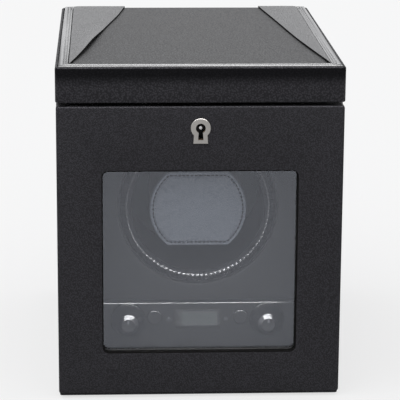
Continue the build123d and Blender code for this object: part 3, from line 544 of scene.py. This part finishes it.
nodeFinishes = {
    boardRaw: ["base_board", "side_boards", "back_board", "door_board", "lid_board", "lid_rails"],
    rubberBlack: ["rubber_feet", "glass_gasket"],
    leadBlack: ["wiring"],
    windowGlass: ["door_glass"],
    screenGlass: ["screen_lens"],
    screenGrey: ["screen_cell"],
    nickelPlate: ["escutcheon"],
    steelBrushed: [
        "case_hinge_leaves", "hinge_pins", "lid_hinge_leaves", "lid_screws", "case_screws",
        "drum_shaft", "motor_pinion", "cuff_springs",
    ],
    steelDark: ["lock_case", "lock_bolt", "strike_plate", "lock_screws"],
    panelPlastic: ["fascia", "control_console", "deck_panel", "left_button", "right_button"],
    innerPlastic: [
        "drum_cup", "drum_shroud", "drum_gear", "bearing_plates", "chassis_tray",
        "gearbox_case", "cuff_core", "cuff_slider", "switch_bodies",
    ],
    bezelPlastic: ["drum_bezel"],
    controlPlastic: ["left_knob", "right_knob"],
    lightPlastic: ["indicator_lights"],
    socketPlastic: ["power_jack"],
    boardGreen: ["control_board"],
    brassTurned: ["drum_bushes"],
    motorZinc: ["motor_can"],
}


def paintNodes():
    for material, names in nodeFinishes.items():
        for name in names:
            node = nodes[name]
            node.data.materials.clear()
            node.data.materials.append(material)
            for face in node.data.polygons:
                face.material_index = 0
    # the rounded top edges of the console and its buttons are polished
    for name in ("control_console", "left_button", "right_button"):
        mesh = nodes[name].data
        mesh.materials.append(bezelPlastic)
        for face in mesh.polygons:
            if face.normal.y < -0.15 and face.normal.z > 0.3:
                face.material_index = 1


caseSettings = {
    "wall": 0.75,
    "corner": 2.5,
    "edge": 0.7,
    "fineEdge": 0.25,
    "hingeRoom": 3.0,
    "hingeMiddles": (-43.0, 43.0),
    "hingeHalf": 14.4,
    "jackRadius": 8.0,
}


def makeCaseSkin(settings):
    lo, hi = low("case_leather"), high("case_leather")
    board = high("side_boards").x
    inner = low("case_lining")
    cavityHalf = high("case_lining").x
    cavityBack = high("case_lining").y
    skin = addBox("case_skin", lo, hi)
    bevelEdges(skin, lambda c, d: abs(d.z) > 0.9 and c.y > hi.y - 1, settings["corner"], 5)
    bevelEdges(skin, lambda c, d: c.z > hi.z - 0.1 and c.y > lo.y + 1, settings["edge"], 3)
    wall = settings["wall"]
    core = addBox("core", (-board, lo.y + wall, lo.z - 1), (board, hi.y - wall, hi.z - wall))
    bevelEdges(core, lambda c, d: abs(d.z) > 0.9 and c.y > hi.y - 2, settings["corner"] - wall, 5)
    cavity = addBox("cavity", (-cavityHalf, lo.y - 5, inner.z), (cavityHalf, cavityBack, hi.z + 5))
    tools = [core, cavity]
    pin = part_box("hinge_pins")
    pinY, pinZ = (pin[0].y + pin[1].y) / 2 / mm, (pin[0].z + pin[1].z) / 2 / mm
    for middle in settings["hingeMiddles"]:
        half = settings["hingeHalf"]
        ends = (middle - half, pinY, pinZ), (middle + half, pinY, pinZ)
        tools.append(addRod("pocket", settings["hingeRoom"], *ends))
    jack = (low("power_jack") + high("power_jack")) / 2
    ends = (jack.x, hi.y - 5, jack.z), (jack.x, hi.y + 5, jack.z)
    tools.append(addRod("jackHole", settings["jackRadius"], *ends))
    carve(skin, *tools)
    softenEdges(skin, settings["fineEdge"], 2, 50)
    finishPiece(skin, "case", leatherBlack, ["case_leather"])


def makeBaseSheet():
    lo, hi = low("base_cover"), high("base_cover")
    sheet = addBox("base_sheet", lo + Vector((0.5, 0.7, 0)), hi - Vector((0.5, 0.3, 0)))
    bevelEdges(sheet, lambda c, d: abs(d.z) > 0.9, 1.5, 4)
    softenEdges(sheet, 0.25, 3)
    finishPiece(sheet, "case", leatherBlack, ["base_cover"])


def makeCaseLining():
    lo, hi = low("case_lining"), high("case_lining")
    thick = 0.8
    floorEnd = low("control_console").y
    sides = [
        addBox("liningLeft", (lo.x, lo.y, lo.z), (lo.x + thick, hi.y, hi.z)),
        addBox("liningRight", (hi.x - thick, lo.y, lo.z), (hi.x, hi.y, hi.z)),
        addBox("liningBack", (lo.x + thick, hi.y - thick, lo.z), (hi.x - thick, hi.y, hi.z)),
        addBox("liningFloor", (lo.x + thick, lo.y, lo.z), (hi.x - thick, floorEnd, lo.z + thick)),
    ]
    jack = (low("power_jack") + high("power_jack")) / 2
    carve(sides[2], addRod("jackHole", 5.6, (jack.x, hi.y - 5, jack.z), (jack.x, hi.y + 5, jack.z)))
    for side in sides:
        softenEdges(side, 0.3, 3, 50)
    lining = joinPieces("case_lining_suede", sides)
    finishPiece(lining, "case", suedeLining, ["case_lining"])


doorSettings = {
    "corner": 1.5,
    "edge": 1.1,
    "windowCorner": 3.0,
    "windowEdge": 0.9,
    "wall": 0.75,
    "glassLap": 4.0,
    "keyDrop": 5.4,
    "keyRadius": 2.85,
    "slotHalf": 1.65,
    "slotDrop": 6.6,
}


def makeDoorSkin(settings):
    lo, hi = low("door_leather"), high("door_leather")
    glass = low("door_glass")
    lap = settings["glassLap"]
    windowHalf = high("door_glass").x - lap
    windowLow, windowHigh = glass.z + lap, high("door_glass").z - lap
    keyZ = high("escutcheon").z - settings["keyDrop"]
    skin = addBox("door_skin", lo, hi)
    bevelEdges(skin, lambda c, d: abs(d.y) > 0.9, settings["corner"], 4)
    bevelEdges(skin, lambda c, d: c.y < lo.y + 0.1 and abs(d.y) < 0.1, settings["edge"], 5)
    window = addBox("window", (-windowHalf, lo.y - 5, windowLow), (windowHalf, glass.y, windowHigh))
    bevelEdges(window, lambda c, d: abs(d.y) > 0.9, settings["windowCorner"], 5)
    carve(skin, window)

    def onRim(c, d):
        inside = abs(c.x) < windowHalf + 0.1 and windowLow - 0.1 < c.z < windowHigh + 0.1
        return c.y < lo.y + 0.05 and inside and abs(d.y) < 0.1

    bevelEdges(skin, onRim, settings["windowEdge"], 5)

    def isOpen(c, n):
        return (n.y > 0.9 and c.y > hi.y - 0.1) or (abs(c.y - glass.y) < 0.05 and n.y < -0.9)

    pick(skin, "FACE", isOpen)
    bpy.ops.mesh.delete(type="FACE")
    closeEdit()
    useModifier(skin, "SOLIDIFY", thickness=settings["wall"] * mm, offset=-1)
    hole = addRod("keyRound", settings["keyRadius"], (0, lo.y - 3, keyZ), (0, lo.y + 3, keyZ), 32)
    half = settings["slotHalf"]
    slot = addBox("keySlot", (-half, lo.y - 3, keyZ - settings["slotDrop"]), (half, lo.y + 3, keyZ))
    lockLow, lockHigh = low("lock_case"), high("lock_case")
    plate = addBox("plateSeat", (lockLow.x, lo.y + 0.8, hi.z - 1), (lockHigh.x, lockHigh.y, hi.z + 1))
    carve(skin, hole, slot, plate)
    finishPiece(skin, "door", leatherBlack, ["door_leather"])
    # painted shade: the window's reveal and the rim faces that don't face front get the near-black edge
    # material without sheen, for the shadow in the reveal
    skin.data.materials.append(dyedEdgeAndShadeBlack)
    for face in skin.data.polygons:
        c = face.center / mm
        turned = face.normal.y > -0.93
        if turned and abs(c.x) < windowHalf + 2 and windowLow - 2 < c.z < windowHigh + 2:
            face.material_index = 1


def makeDoorLining():
    lo, hi = low("door_lining"), high("door_lining")
    windowHalf = high("door_glass").x - 3.2
    windowLow, windowHigh = low("door_glass").z + 3.2, high("door_glass").z - 3.2
    lining = addBox("door_lining_suede", lo, hi)
    window = addBox("window", (-windowHalf, lo.y - 5, windowLow), (windowHalf, hi.y + 5, windowHigh))
    bevelEdges(window, lambda c, d: abs(d.y) > 0.9, 3.0, 5)
    carve(lining, window)
    softenEdges(lining, 0.3, 3, 50)
    finishPiece(lining, "door", suedeLining, ["door_lining"])


lidSettings = {
    "corner": 2.5,
    "edge": 1.1,
    "wall": 0.75,
    "rim": 1.4,
    "rimDrop": 0.6,
    "rail": 8.8,
    "fineEdge": 0.3,
}

# offset from the border's outer edge and height over the board, in millimetres
borderProfile = [
    (0.12, 1.60), (0.35, 2.00), (0.75, 2.18), (1.5, 2.20), (2.2, 2.12), (2.5, 1.90),
    (2.65, 2.10), (2.85, 2.36), (3.15, 2.49), (3.45, 2.51), (3.75, 2.40), (4.0, 2.12), (4.12, 1.90),
    (4.3, 2.04), (4.6, 2.10), (4.95, 2.04), (5.25, 1.80), (5.42, 1.40), (5.5, 0.60),
]

fieldSettings = {
    "cuts": (56, 76),
    "edgeDrop": 0.75,
    "edgeWidth": 2.2,
    "crown": 0.30,
    "thick": 1.15,
}

flapSettings = {
    "rows": 60,
    "columns": 14,
    "thick": 1.05,
    "round": 0.2,
    "leftCrease": [
        (-70.1, -97.4), (-62.6, -60.0), (-56.5, -20.1), (-49.4, 26.8), (-43.0, 65.4), (-38.2, 101.8),
    ],
    "leftLift": 1.7,
    "rightCrease": [(70.1, -97.4), (64.0, -55.5), (58.8, -14.8), (54.2, 29.2), (49.7, 72.0), (46.4, 101.8)],
    "rightLift": 0.1,
}


def makeLidSkin(settings):
    lo, hi = low("lid_leather"), high("lid_leather")
    boardTop = low("lid_border").z
    boardLow = low("lid_board").z
    skin = addBox("lid_skin", lo, hi - Vector((0, 0, settings["rimDrop"])))
    bevelEdges(skin, lambda c, d: abs(d.z) > 0.9, settings["corner"], 5)
    bevelEdges(skin, lambda c, d: c.z > hi.z - settings["rimDrop"] - 0.1, settings["edge"], 5)
    bevelEdges(skin, lambda c, d: c.z < lo.z + 0.1, 0.8, 3)
    wall, rim, rail = settings["wall"], settings["rim"], settings["rail"]
    core = addBox("core", lo + Vector((wall, wall, wall)), (hi.x - wall, hi.y - wall, boardTop))
    mouth = addBox("mouth", lo + Vector((rail, rail, -5)), (hi.x - rail, hi.y - rail, boardLow))
    roof = addBox("roof", (lo.x + rim, lo.y + rim, boardTop + 0.15), (hi.x - rim, hi.y - rim, hi.z + 5))
    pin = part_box("hinge_pins")
    pinY, pinZ = (pin[0].y + pin[1].y) / 2 / mm, (pin[0].z + pin[1].z) / 2 / mm
    tools = [core, mouth, roof]
    for middle in caseSettings["hingeMiddles"]:
        half = caseSettings["hingeHalf"]
        ends = (middle - half, pinY, pinZ), (middle + half, pinY, pinZ)
        tools.append(addRod("pocket", caseSettings["hingeRoom"], *ends))
    strikeLow, strikeHigh = low("strike_plate"), high("strike_plate")
    tools.append(addBox("strikeSeat", strikeLow - Vector((0, 0, 2)), strikeHigh + Vector((0, 0, 0.2))))
    carve(skin, *tools)
    softenEdges(skin, settings["fineEdge"], 2, 50)
    finishPiece(skin, "lid", leatherLid, ["lid_leather"])


def makeLidBorder():
    lo, hi = low("lid_border"), high("lid_border")
    deselectAll()
    bpy.ops.mesh.primitive_plane_add(
        size=1, location=Vector(((lo.x + hi.x) / 2, (lo.y + hi.y) / 2, lo.z + 0.2)) * mm
    )
    border = bpy.context.object
    border.scale = ((hi.x - lo.x - 0.8) * mm, (hi.y - lo.y - 0.8) * mm, 1)
    setDown(border, "lid_border_leather")
    openEdit(border)
    bpy.ops.mesh.select_mode(type="FACE")
    bpy.ops.mesh.select_all(action="SELECT")
    before = (0.0, 0.2)
    for offset, height in borderProfile:
        bpy.ops.mesh.inset(
            thickness=(offset - before[0]) * mm, depth=(height - before[1]) * mm, use_even_offset=True
        )
        before = (offset, height)
    bpy.ops.mesh.delete(type="FACE")
    closeEdit()
    # the field and its flaps run over the border at the back
    inner = high("lid_field")
    for side in (-1, 1):
        openEdit(border)
        bpy.ops.mesh.select_all(action="SELECT")
        bpy.ops.mesh.bisect(plane_co=(side * inner.x * mm, 0, 0), plane_no=(1, 0, 0))
        closeEdit()
    pick(border, "FACE", lambda c, n: c.y > inner.y and abs(c.x) < inner.x)
    bpy.ops.mesh.delete(type="FACE")
    closeEdit()
    useModifier(border, "SOLIDIFY", thickness=0.45 * mm, offset=-1)
    finishPiece(border, "lid", leatherBead, ["lid_border"], 50)


def makeLidField(settings):
    lo, hi = low("lid_field"), high("lid_field")
    hi.y = high("lid_border").y - 0.3
    middle = (lo + hi) / 2
    size = hi - lo
    deselectAll()
    across, along = settings["cuts"]
    bpy.ops.mesh.primitive_grid_add(x_subdivisions=across, y_subdivisions=along, size=1)
    field = bpy.context.object
    field.scale = (size.x * mm, size.y * mm, 1)
    field.location = (middle.x * mm, middle.y * mm, hi.z * mm)
    setDown(field, "lid_field_leather")
    for corner in field.data.vertices:
        x, y = corner.co.x / mm, corner.co.y / mm
        toEdge = min(x - lo.x, hi.x - x, y - lo.y)
        drop = settings["edgeDrop"] * (1 - smoothStep(toEdge / settings["edgeWidth"])) ** 2
        round2 = (1 - (2 * (x - middle.x) / size.x) ** 2) * (1 - (2 * (y - middle.y) / size.y) ** 2)
        ripple = 0.05 * noise.noise(Vector((x, y, 3.0)) * 0.06)
        corner.co.z += (settings["crown"] * round2 - drop + ripple) * mm
    useModifier(field, "SOLIDIFY", thickness=settings["thick"] * mm, offset=-1)
    finishPiece(field, "lid", leatherTop, ["lid_field"], 60)


def creaseAt(points, y):
    # a smooth line through the crease's points, by distance from the front
    for index in range(len(points) - 1):
        (x1, y1), (x2, y2) = points[index], points[index + 1]
        if y <= y2 or index == len(points) - 2:
            x0, y0 = points[index - 1] if index else (2 * x1 - x2, 2 * y1 - y2)
            x3, y3 = points[index + 2] if index + 2 < len(points) else (2 * x2 - x1, 2 * y2 - y1)
            t = (y - y1) / (y2 - y1)
            slope1 = (x2 - x0) / (y2 - y0) * (y2 - y1)
            slope2 = (x3 - x1) / (y3 - y1) * (y2 - y1)
            h1 = 2 * t**3 - 3 * t**2 + 1
            h2 = t**3 - 2 * t**2 + t
            return h1 * x1 + h2 * slope1 + (1 - h1) * x2 + (t**3 - t**2) * slope2


def makeFlap(name, node, points, lift, settings):
    lo, hi = low("lid_field"), high("lid_field")
    side = 1 if points[0][0] > 0 else -1
    edge = hi.x - 0.15 if side > 0 else lo.x + 0.15
    rows, columns = settings["rows"], settings["columns"]
    deselectAll()
    bpy.ops.mesh.primitive_grid_add(x_subdivisions=columns, y_subdivisions=rows, size=1)
    flap = bpy.context.object
    start, end = points[0][1], points[-1][1]
    for corner in flap.data.vertices:
        across, along = corner.co.x + 0.5, corner.co.y + 0.5
        y = start + (end - start) * along
        crease = creaseAt(points, y)
        x = edge + (crease - edge) * (across if side < 0 else 1 - across)
        reach = across if side < 0 else 1 - across
        width = abs(crease - edge)
        slack = lift * smoothStep(width / 7) * math.exp(-(((along - 0.30) / 0.20) ** 2))
        z = hi.z + settings["thick"] + 0.05 + slack * reach**2
        z -= 0.25 * (1 - smoothStep(reach * width / 2.0))
        z += 0.06 * noise.noise(Vector((x, y, 9.0)) * 0.09)
        corner.co = Vector((x, y, z)) * mm
    setDown(flap, name)
    facesOutward(flap)
    if flap.data.polygons[0].normal.z < 0:
        openEdit(flap)
        bpy.ops.mesh.select_all(action="SELECT")
        bpy.ops.mesh.flip_normals()
        closeEdit()
    useModifier(flap, "SOLIDIFY", thickness=settings["thick"] * mm, offset=-1)
    softenEdges(flap, settings["round"], 3, 60)
    finishPiece(flap, "lid", leatherFold, [node], 60)
    # painted shade: the flap's faces that don't face up, its cut edges, get the near-black edge material,
    # for a dyed edge and the shadow under the flap's edge
    flap.data.materials.append(dyedEdgeAndShadeBlack)
    for face in flap.data.polygons:
        face.material_index = 1 if face.normal.z < 0.35 else 0


def makeLidPad():
    lo, hi = low("lid_lining"), high("lid_lining")
    thick = 0.8
    padDepth = hi.z - 2.0
    frameBox = addBox("lid_pad_suede", lo, hi)
    hollow = addBox("hollow", (lo.x + thick, lo.y + thick, lo.z - 5), (hi.x - thick, hi.y - thick, padDepth))
    carve(frameBox, hollow)
    strikeLow, strikeHigh = low("strike_plate"), high("strike_plate")
    carve(frameBox, addBox("strikeSeat", strikeLow - Vector((1, 1, 2)), strikeHigh + Vector((1, 1, 1))))
    softenEdges(frameBox, 0.3, 3, 50)
    deselectAll()
    bpy.ops.mesh.primitive_grid_add(x_subdivisions=40, y_subdivisions=56, size=1)
    pad = bpy.context.object
    middle, size = (lo + hi) / 2, hi - lo - Vector((2, 2, 0))
    pad.scale = (size.x * mm, size.y * mm, 1)
    pad.location = (middle.x * mm, middle.y * mm, padDepth * mm)
    setDown(pad, "pad")
    for corner in pad.data.vertices:
        x, y = corner.co.x / mm, corner.co.y / mm
        toEdge = min(size.x / 2 - abs(x - middle.x), size.y / 2 - abs(y - middle.y))
        corner.co.z -= (1.5 * smoothStep(toEdge / 22) + 0.1 * noise.noise(Vector((x, y, 5)) * 0.07)) * mm
    useModifier(pad, "SOLIDIFY", thickness=0.5 * mm, offset=1)
    facesOutward(pad)
    lining = joinPieces("lid_pad_suede", [frameBox, pad])
    finishPiece(lining, "lid", suedeLining, ["lid_lining"], 60)


cuffSettings = {
    "frontRoom": 0.9,
    "sideRoom": 0.35,
    "heldDepth": 1.2,
    "voxel": 0.9,
    "pressure": 4.0,
    "frames": 20,
    "cap": 1.3,
    "seamInset": 2.3,
    "seamDepth": 0.45,
    "seamWidth": 0.8,
    "stitchPitch": 2.3,
    "stitchLength": 1.5,
    "stitchRadius": 0.45,
    "stitchProud": 0.12,
}


def cuffRim(inset, count):
    # evenly spaced points round the cuff's outline, drawn in by an inset
    lo, hi = low("cuff_pad"), high("cuff_pad")
    radius = hi.x - inset
    halfHeight = (hi.z - lo.z) / 2 - inset
    middleZ = (lo.z + hi.z) / 2
    fine = []
    for step in range(2000):
        angle = 2 * math.pi * step / 2000
        x, z = radius * math.cos(angle), radius * math.sin(angle)
        if abs(z) > halfHeight:
            flat = math.sqrt(radius**2 - halfHeight**2)
            turn = math.asin(halfHeight / radius)
            around = abs(angle) if z > 0 else 2 * math.pi - angle
            share = (around - turn) / (math.pi - 2 * turn)
            x, z = flat * (1 - 2 * share), math.copysign(halfHeight, z)
        fine.append(Vector((x, 0, middleZ + z)))
    lengths = [0.0]
    for index in range(2000):
        lengths.append(lengths[-1] + (fine[(index + 1) % 2000] - fine[index]).length)
    rim, index = [], 0
    for step in range(count):
        wanted = lengths[-1] * step / count
        while lengths[index + 1] < wanted:
            index += 1
        rim.append(fine[index])
    return rim, lengths[-1]


def toRim(x, z, lo, hi):
    # distance inside the cuff's outline
    middleZ = (lo.z + hi.z) / 2
    return min(hi.x - math.hypot(x, z - middleZ), (hi.z - lo.z) / 2 - abs(z - middleZ))


def makeCuffPad(settings):
    lo, hi = low("cuff_pad"), high("cuff_pad")
    middleZ = (lo.z + hi.z) / 2
    front = lo.y + settings["frontRoom"]
    room = settings["sideRoom"]
    pad = addRod("cuff_pad_leather", hi.x - room, (0, front, middleZ), (0, hi.y, middleZ), 96)
    for height, sign in ((hi.z - room, 1), (lo.z + room, -1)):
        openEdit(pad)
        bpy.ops.mesh.select_all(action="SELECT")
        bpy.ops.mesh.bisect(
            plane_co=(0, 0, height * mm), plane_no=(0, 0, sign), use_fill=True, clear_outer=True
        )
        closeEdit()
    bevelEdges(pad, lambda c, d: c.y < front + 0.1 and abs(d.y) < 0.1, 0.9, 3)
    makeActive(pad)
    pad.data.remesh_voxel_size = settings["voxel"] * mm
    bpy.ops.object.voxel_remesh()
    before = [corner.co.copy() for corner in pad.data.vertices]
    held = pad.vertex_groups.new(name="held")
    behind = [c.index for c in pad.data.vertices if c.co.y / mm > hi.y - settings["heldDepth"]]
    held.add(behind, 1.0, "REPLACE")
    cloth = pad.modifiers.new("cloth", "CLOTH")
    cloth.settings.use_pressure = True
    cloth.settings.uniform_pressure_force = settings["pressure"]
    cloth.settings.effector_weights.gravity = 0
    cloth.settings.vertex_group_mass = "held"
    cloth.point_cache.frame_start = 1
    cloth.point_cache.frame_end = settings["frames"]
    for number in range(1, settings["frames"] + 1):
        scene.frame_set(number)
    makeActive(pad)
    bpy.ops.object.modifier_apply(modifier="cloth")
    scene.frame_set(1)
    for corner, old in zip(pad.data.vertices, before):
        move = corner.co - old
        if move.length > settings["cap"] * mm:
            corner.co = old + move.normalized() * settings["cap"] * mm
    useModifier(pad, "SUBSURF", levels=1, render_levels=1)
    for corner in pad.data.vertices:
        x, y, z = corner.co / mm
        if y < hi.y - settings["heldDepth"]:
            inside = toRim(x, z, lo, hi)
            dip = math.exp(-(((inside - settings["seamInset"]) / settings["seamWidth"]) ** 2))
            crown = 0.45 * smoothStep((inside - 3) / 14)
            corner.co.y += (settings["seamDepth"] * dip - crown) * mm
    finishPiece(pad, "cuff", leatherCuff, ["cuff_pad"], 60)
    return pad


def makeCuffStitches(pad, settings):
    pad.data.update()
    bpy.context.view_layer.update()
    rim, length = cuffRim(settings["seamInset"], 4)
    count = round(length / settings["stitchPitch"])
    rim, length = cuffRim(settings["seamInset"], count)
    half = settings["stitchLength"] / 2
    first = addRod("stitch", settings["stitchRadius"], (-half, 0, 0), (half, 0, 0), 8)
    softenEdges(first, 0.14, 1)
    front = low("cuff_pad").y
    stitches = []
    for index, point in enumerate(rim):
        along = rim[(index + 1) % count] - rim[index - 1]
        hit, place, _, _ = pad.ray_cast(Vector((point.x, front - 20, point.z)) * mm, Vector((0, 1, 0)))
        y = place.y / mm if hit else front + 1
        stitch = bpy.data.objects.new("stitch", first.data.copy())
        scene.collection.objects.link(stitch)
        stitch.location = Vector((point.x, y - settings["stitchProud"], point.z)) * mm
        stitch.rotation_euler = (0, -math.atan2(along.z, along.x), 0)
        stitches.append(stitch)
    bpy.data.objects.remove(first)
    thread = joinPieces("cuff_stitches", stitches)
    finishPiece(thread, "cuff", threadDark, (), 60)


def makeSprings():
    # a copy of the same coils, carried by the cuff
    node = nodes["cuff_springs"]
    bpy.context.view_layer.update()
    mesh = node.data.copy()
    mesh.transform(node.matrix_world)
    springs = bpy.data.objects.new("cuff_coils", mesh)
    scene.collection.objects.link(springs)
    finishPiece(springs, "cuff", steelBrushed, ["cuff_springs"], 40)
    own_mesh(springs)


knobSettings = {
    "foot": 9.4,
    "length": 12.2,
    "footDepth": 1.0,
    "faceRadius": 3.6,
    "sides": 112,
    # inset and advance of each step from the foot to the face
    "steps": [
        (0.10, 0.16), (0.16, 0.14), (1.60, 3.85), (1.62, 3.95), (0.12, 0.85),
        (2.10, 1.95), (0.25, 0.12), (0.25, 0.0), (1.10, -0.15),
    ],
}


def makeKnob(name, node, settings):
    lo, hi = low(node), high(node)
    middle = (lo + hi) / 2
    front = lo.y
    back = front + settings["length"]
    start, end = (middle.x, back, middle.z), (middle.x, back - settings["footDepth"], middle.z)
    knob = addRod(name, settings["foot"], start, end, settings["sides"])
    pick(knob, "FACE", lambda c, n: n.y < -0.9)
    for inset, advance in settings["steps"]:
        bpy.ops.mesh.inset(thickness=inset * mm, depth=advance * mm, use_even_offset=True)
    closeEdit()
    facesOutward(knob)
    # only the chamfer round the face is polished
    knob.data.materials.append(controlPlastic)
    knob.data.materials.append(panelPlastic)
    for face in knob.data.polygons:
        reach = math.hypot(face.center.x / mm - middle.x, face.center.z / mm - middle.z)
        face.material_index = 1 if reach < settings["faceRadius"] else 0
    start = (middle.x - 0.3, front + 0.02, middle.z + 1.2)
    end = (middle.x + 0.3, front + 0.6, middle.z + 3.0)
    pointer = addBox(name + "Pointer", start, end)
    softenEdges(pointer, 0.12, 2)
    shaftPiece = addRod(name + "Shaft", 3.0, (middle.x, back, middle.z), (middle.x, hi.y, middle.z), 32)
    pointer.data.materials.append(pointerPaint)
    shaftPiece.data.materials.append(controlPlastic)
    joined = joinPieces(name, [knob, pointer, shaftPiece])
    smoothByAngle(joined, 20)
    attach(joined, node + "_body")
    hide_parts(node)


ringSettings = {
    "teeth": 96,
    "sides": 576,
    "toothDepth": 1.1,
    "crestDepth": 0.8,
    "valley": 0.45,
    "teethFrom": 40.2,
    "teethTo": 43.3,
    "crestFrom": 39.6,
    "rim": 3.0,
    # inset and advance of each step from the rim to the mouth
    "steps": [
        (0.12, 0.22), (0.30, 0.34), (0.80, 0.62), (0.85, 0.69), (0.75, 0.62), (0.28, 0.28),
        (0.20, 0.18), (0.20, 0.05), (0.30, -0.08), (0.50, -0.35), (1.20, -1.30), (0.97, -1.27),
    ],
}


def makeRing(settings):
    lo, hi = low("drum_bezel"), high("drum_bezel")
    middle = (lo + hi) / 2
    start, end = (middle.x, hi.y, middle.z), (middle.x, lo.y + settings["rim"], middle.z)
    ring = addRod("drum_ring", hi.x, start, end, settings["sides"])
    pick(ring, "FACE", lambda c, n: n.y < -0.9 and abs(c.x - middle.x) < 0.1)
    for inset, advance in settings["steps"]:
        bpy.ops.mesh.inset(thickness=inset * mm, depth=advance * mm, use_even_offset=True)
    closeEdit()
    pick(ring, "FACE", lambda c, n: abs(n.y) > 0.9 and math.hypot(c.x - middle.x, c.z - middle.z) < 0.5)
    bpy.ops.mesh.delete(type="FACE")
    closeEdit()
    for corner in ring.data.vertices:
        x, y, z = corner.co / mm - Vector((middle.x, lo.y, middle.z))
        reach = math.hypot(x, z)
        share = 0.0
        if settings["teethFrom"] < reach < settings["teethTo"] and y < settings["rim"]:
            share = settings["toothDepth"]
        elif settings["crestFrom"] < reach <= settings["teethFrom"]:
            share = settings["crestDepth"]
        # narrow valleys between broad teeth
        wave = 0.5 + 0.5 * math.cos(settings["teeth"] * math.atan2(z, x))
        valley = max(0.0, 1 - wave / settings["valley"])
        corner.co.y += share * valley * mm
    useModifier(ring, "SOLIDIFY", thickness=0.4 * mm, offset=-1)
    finishPiece(ring, "drum", bezelPlastic, ["drum_bezel"], 30)


def makeKeyPost():
    # the pin that the key turns on, seen in the keyhole
    lo, hi = low("lock_case"), high("escutcheon")
    keyZ = hi.z - doorSettings["keyDrop"]
    post = addRod("key_post", 1.05, (0, lo.y + 0.1, keyZ), (0, lo.y + 3.0, keyZ), 24)
    softenEdges(post, 0.45, 4)
    finishPiece(post, "door", steelBrushed)


deselectAll()
makeCamera(cameraSettings)
makeStage(stageSettings)
print("stage ready")
paintNodes()
print("nodes painted")
makeCaseSkin(caseSettings)
makeBaseSheet()
makeCaseLining()
print("case done")
makeDoorSkin(doorSettings)
makeDoorLining()
print("door done")
makeLidSkin(lidSettings)
makeLidBorder()
makeLidField(fieldSettings)
for hand in ("left", "right"):
    node = f"lid_{hand}_flap"
    crease, lift = flapSettings[hand + "Crease"], flapSettings[hand + "Lift"]
    makeFlap(node + "_leather", node, crease, lift, flapSettings)
makeLidPad()
print("lid done")
cuffPad = makeCuffPad(cuffSettings)
makeCuffStitches(cuffPad, cuffSettings)
makeSprings()
print("cuff done")
makeKnob("left_knob_turned", "left_knob", knobSettings)
makeKnob("right_knob_turned", "right_knob", knobSettings)
makeRing(ringSettings)
makeKeyPost()
print("controls done")
deselectAll()
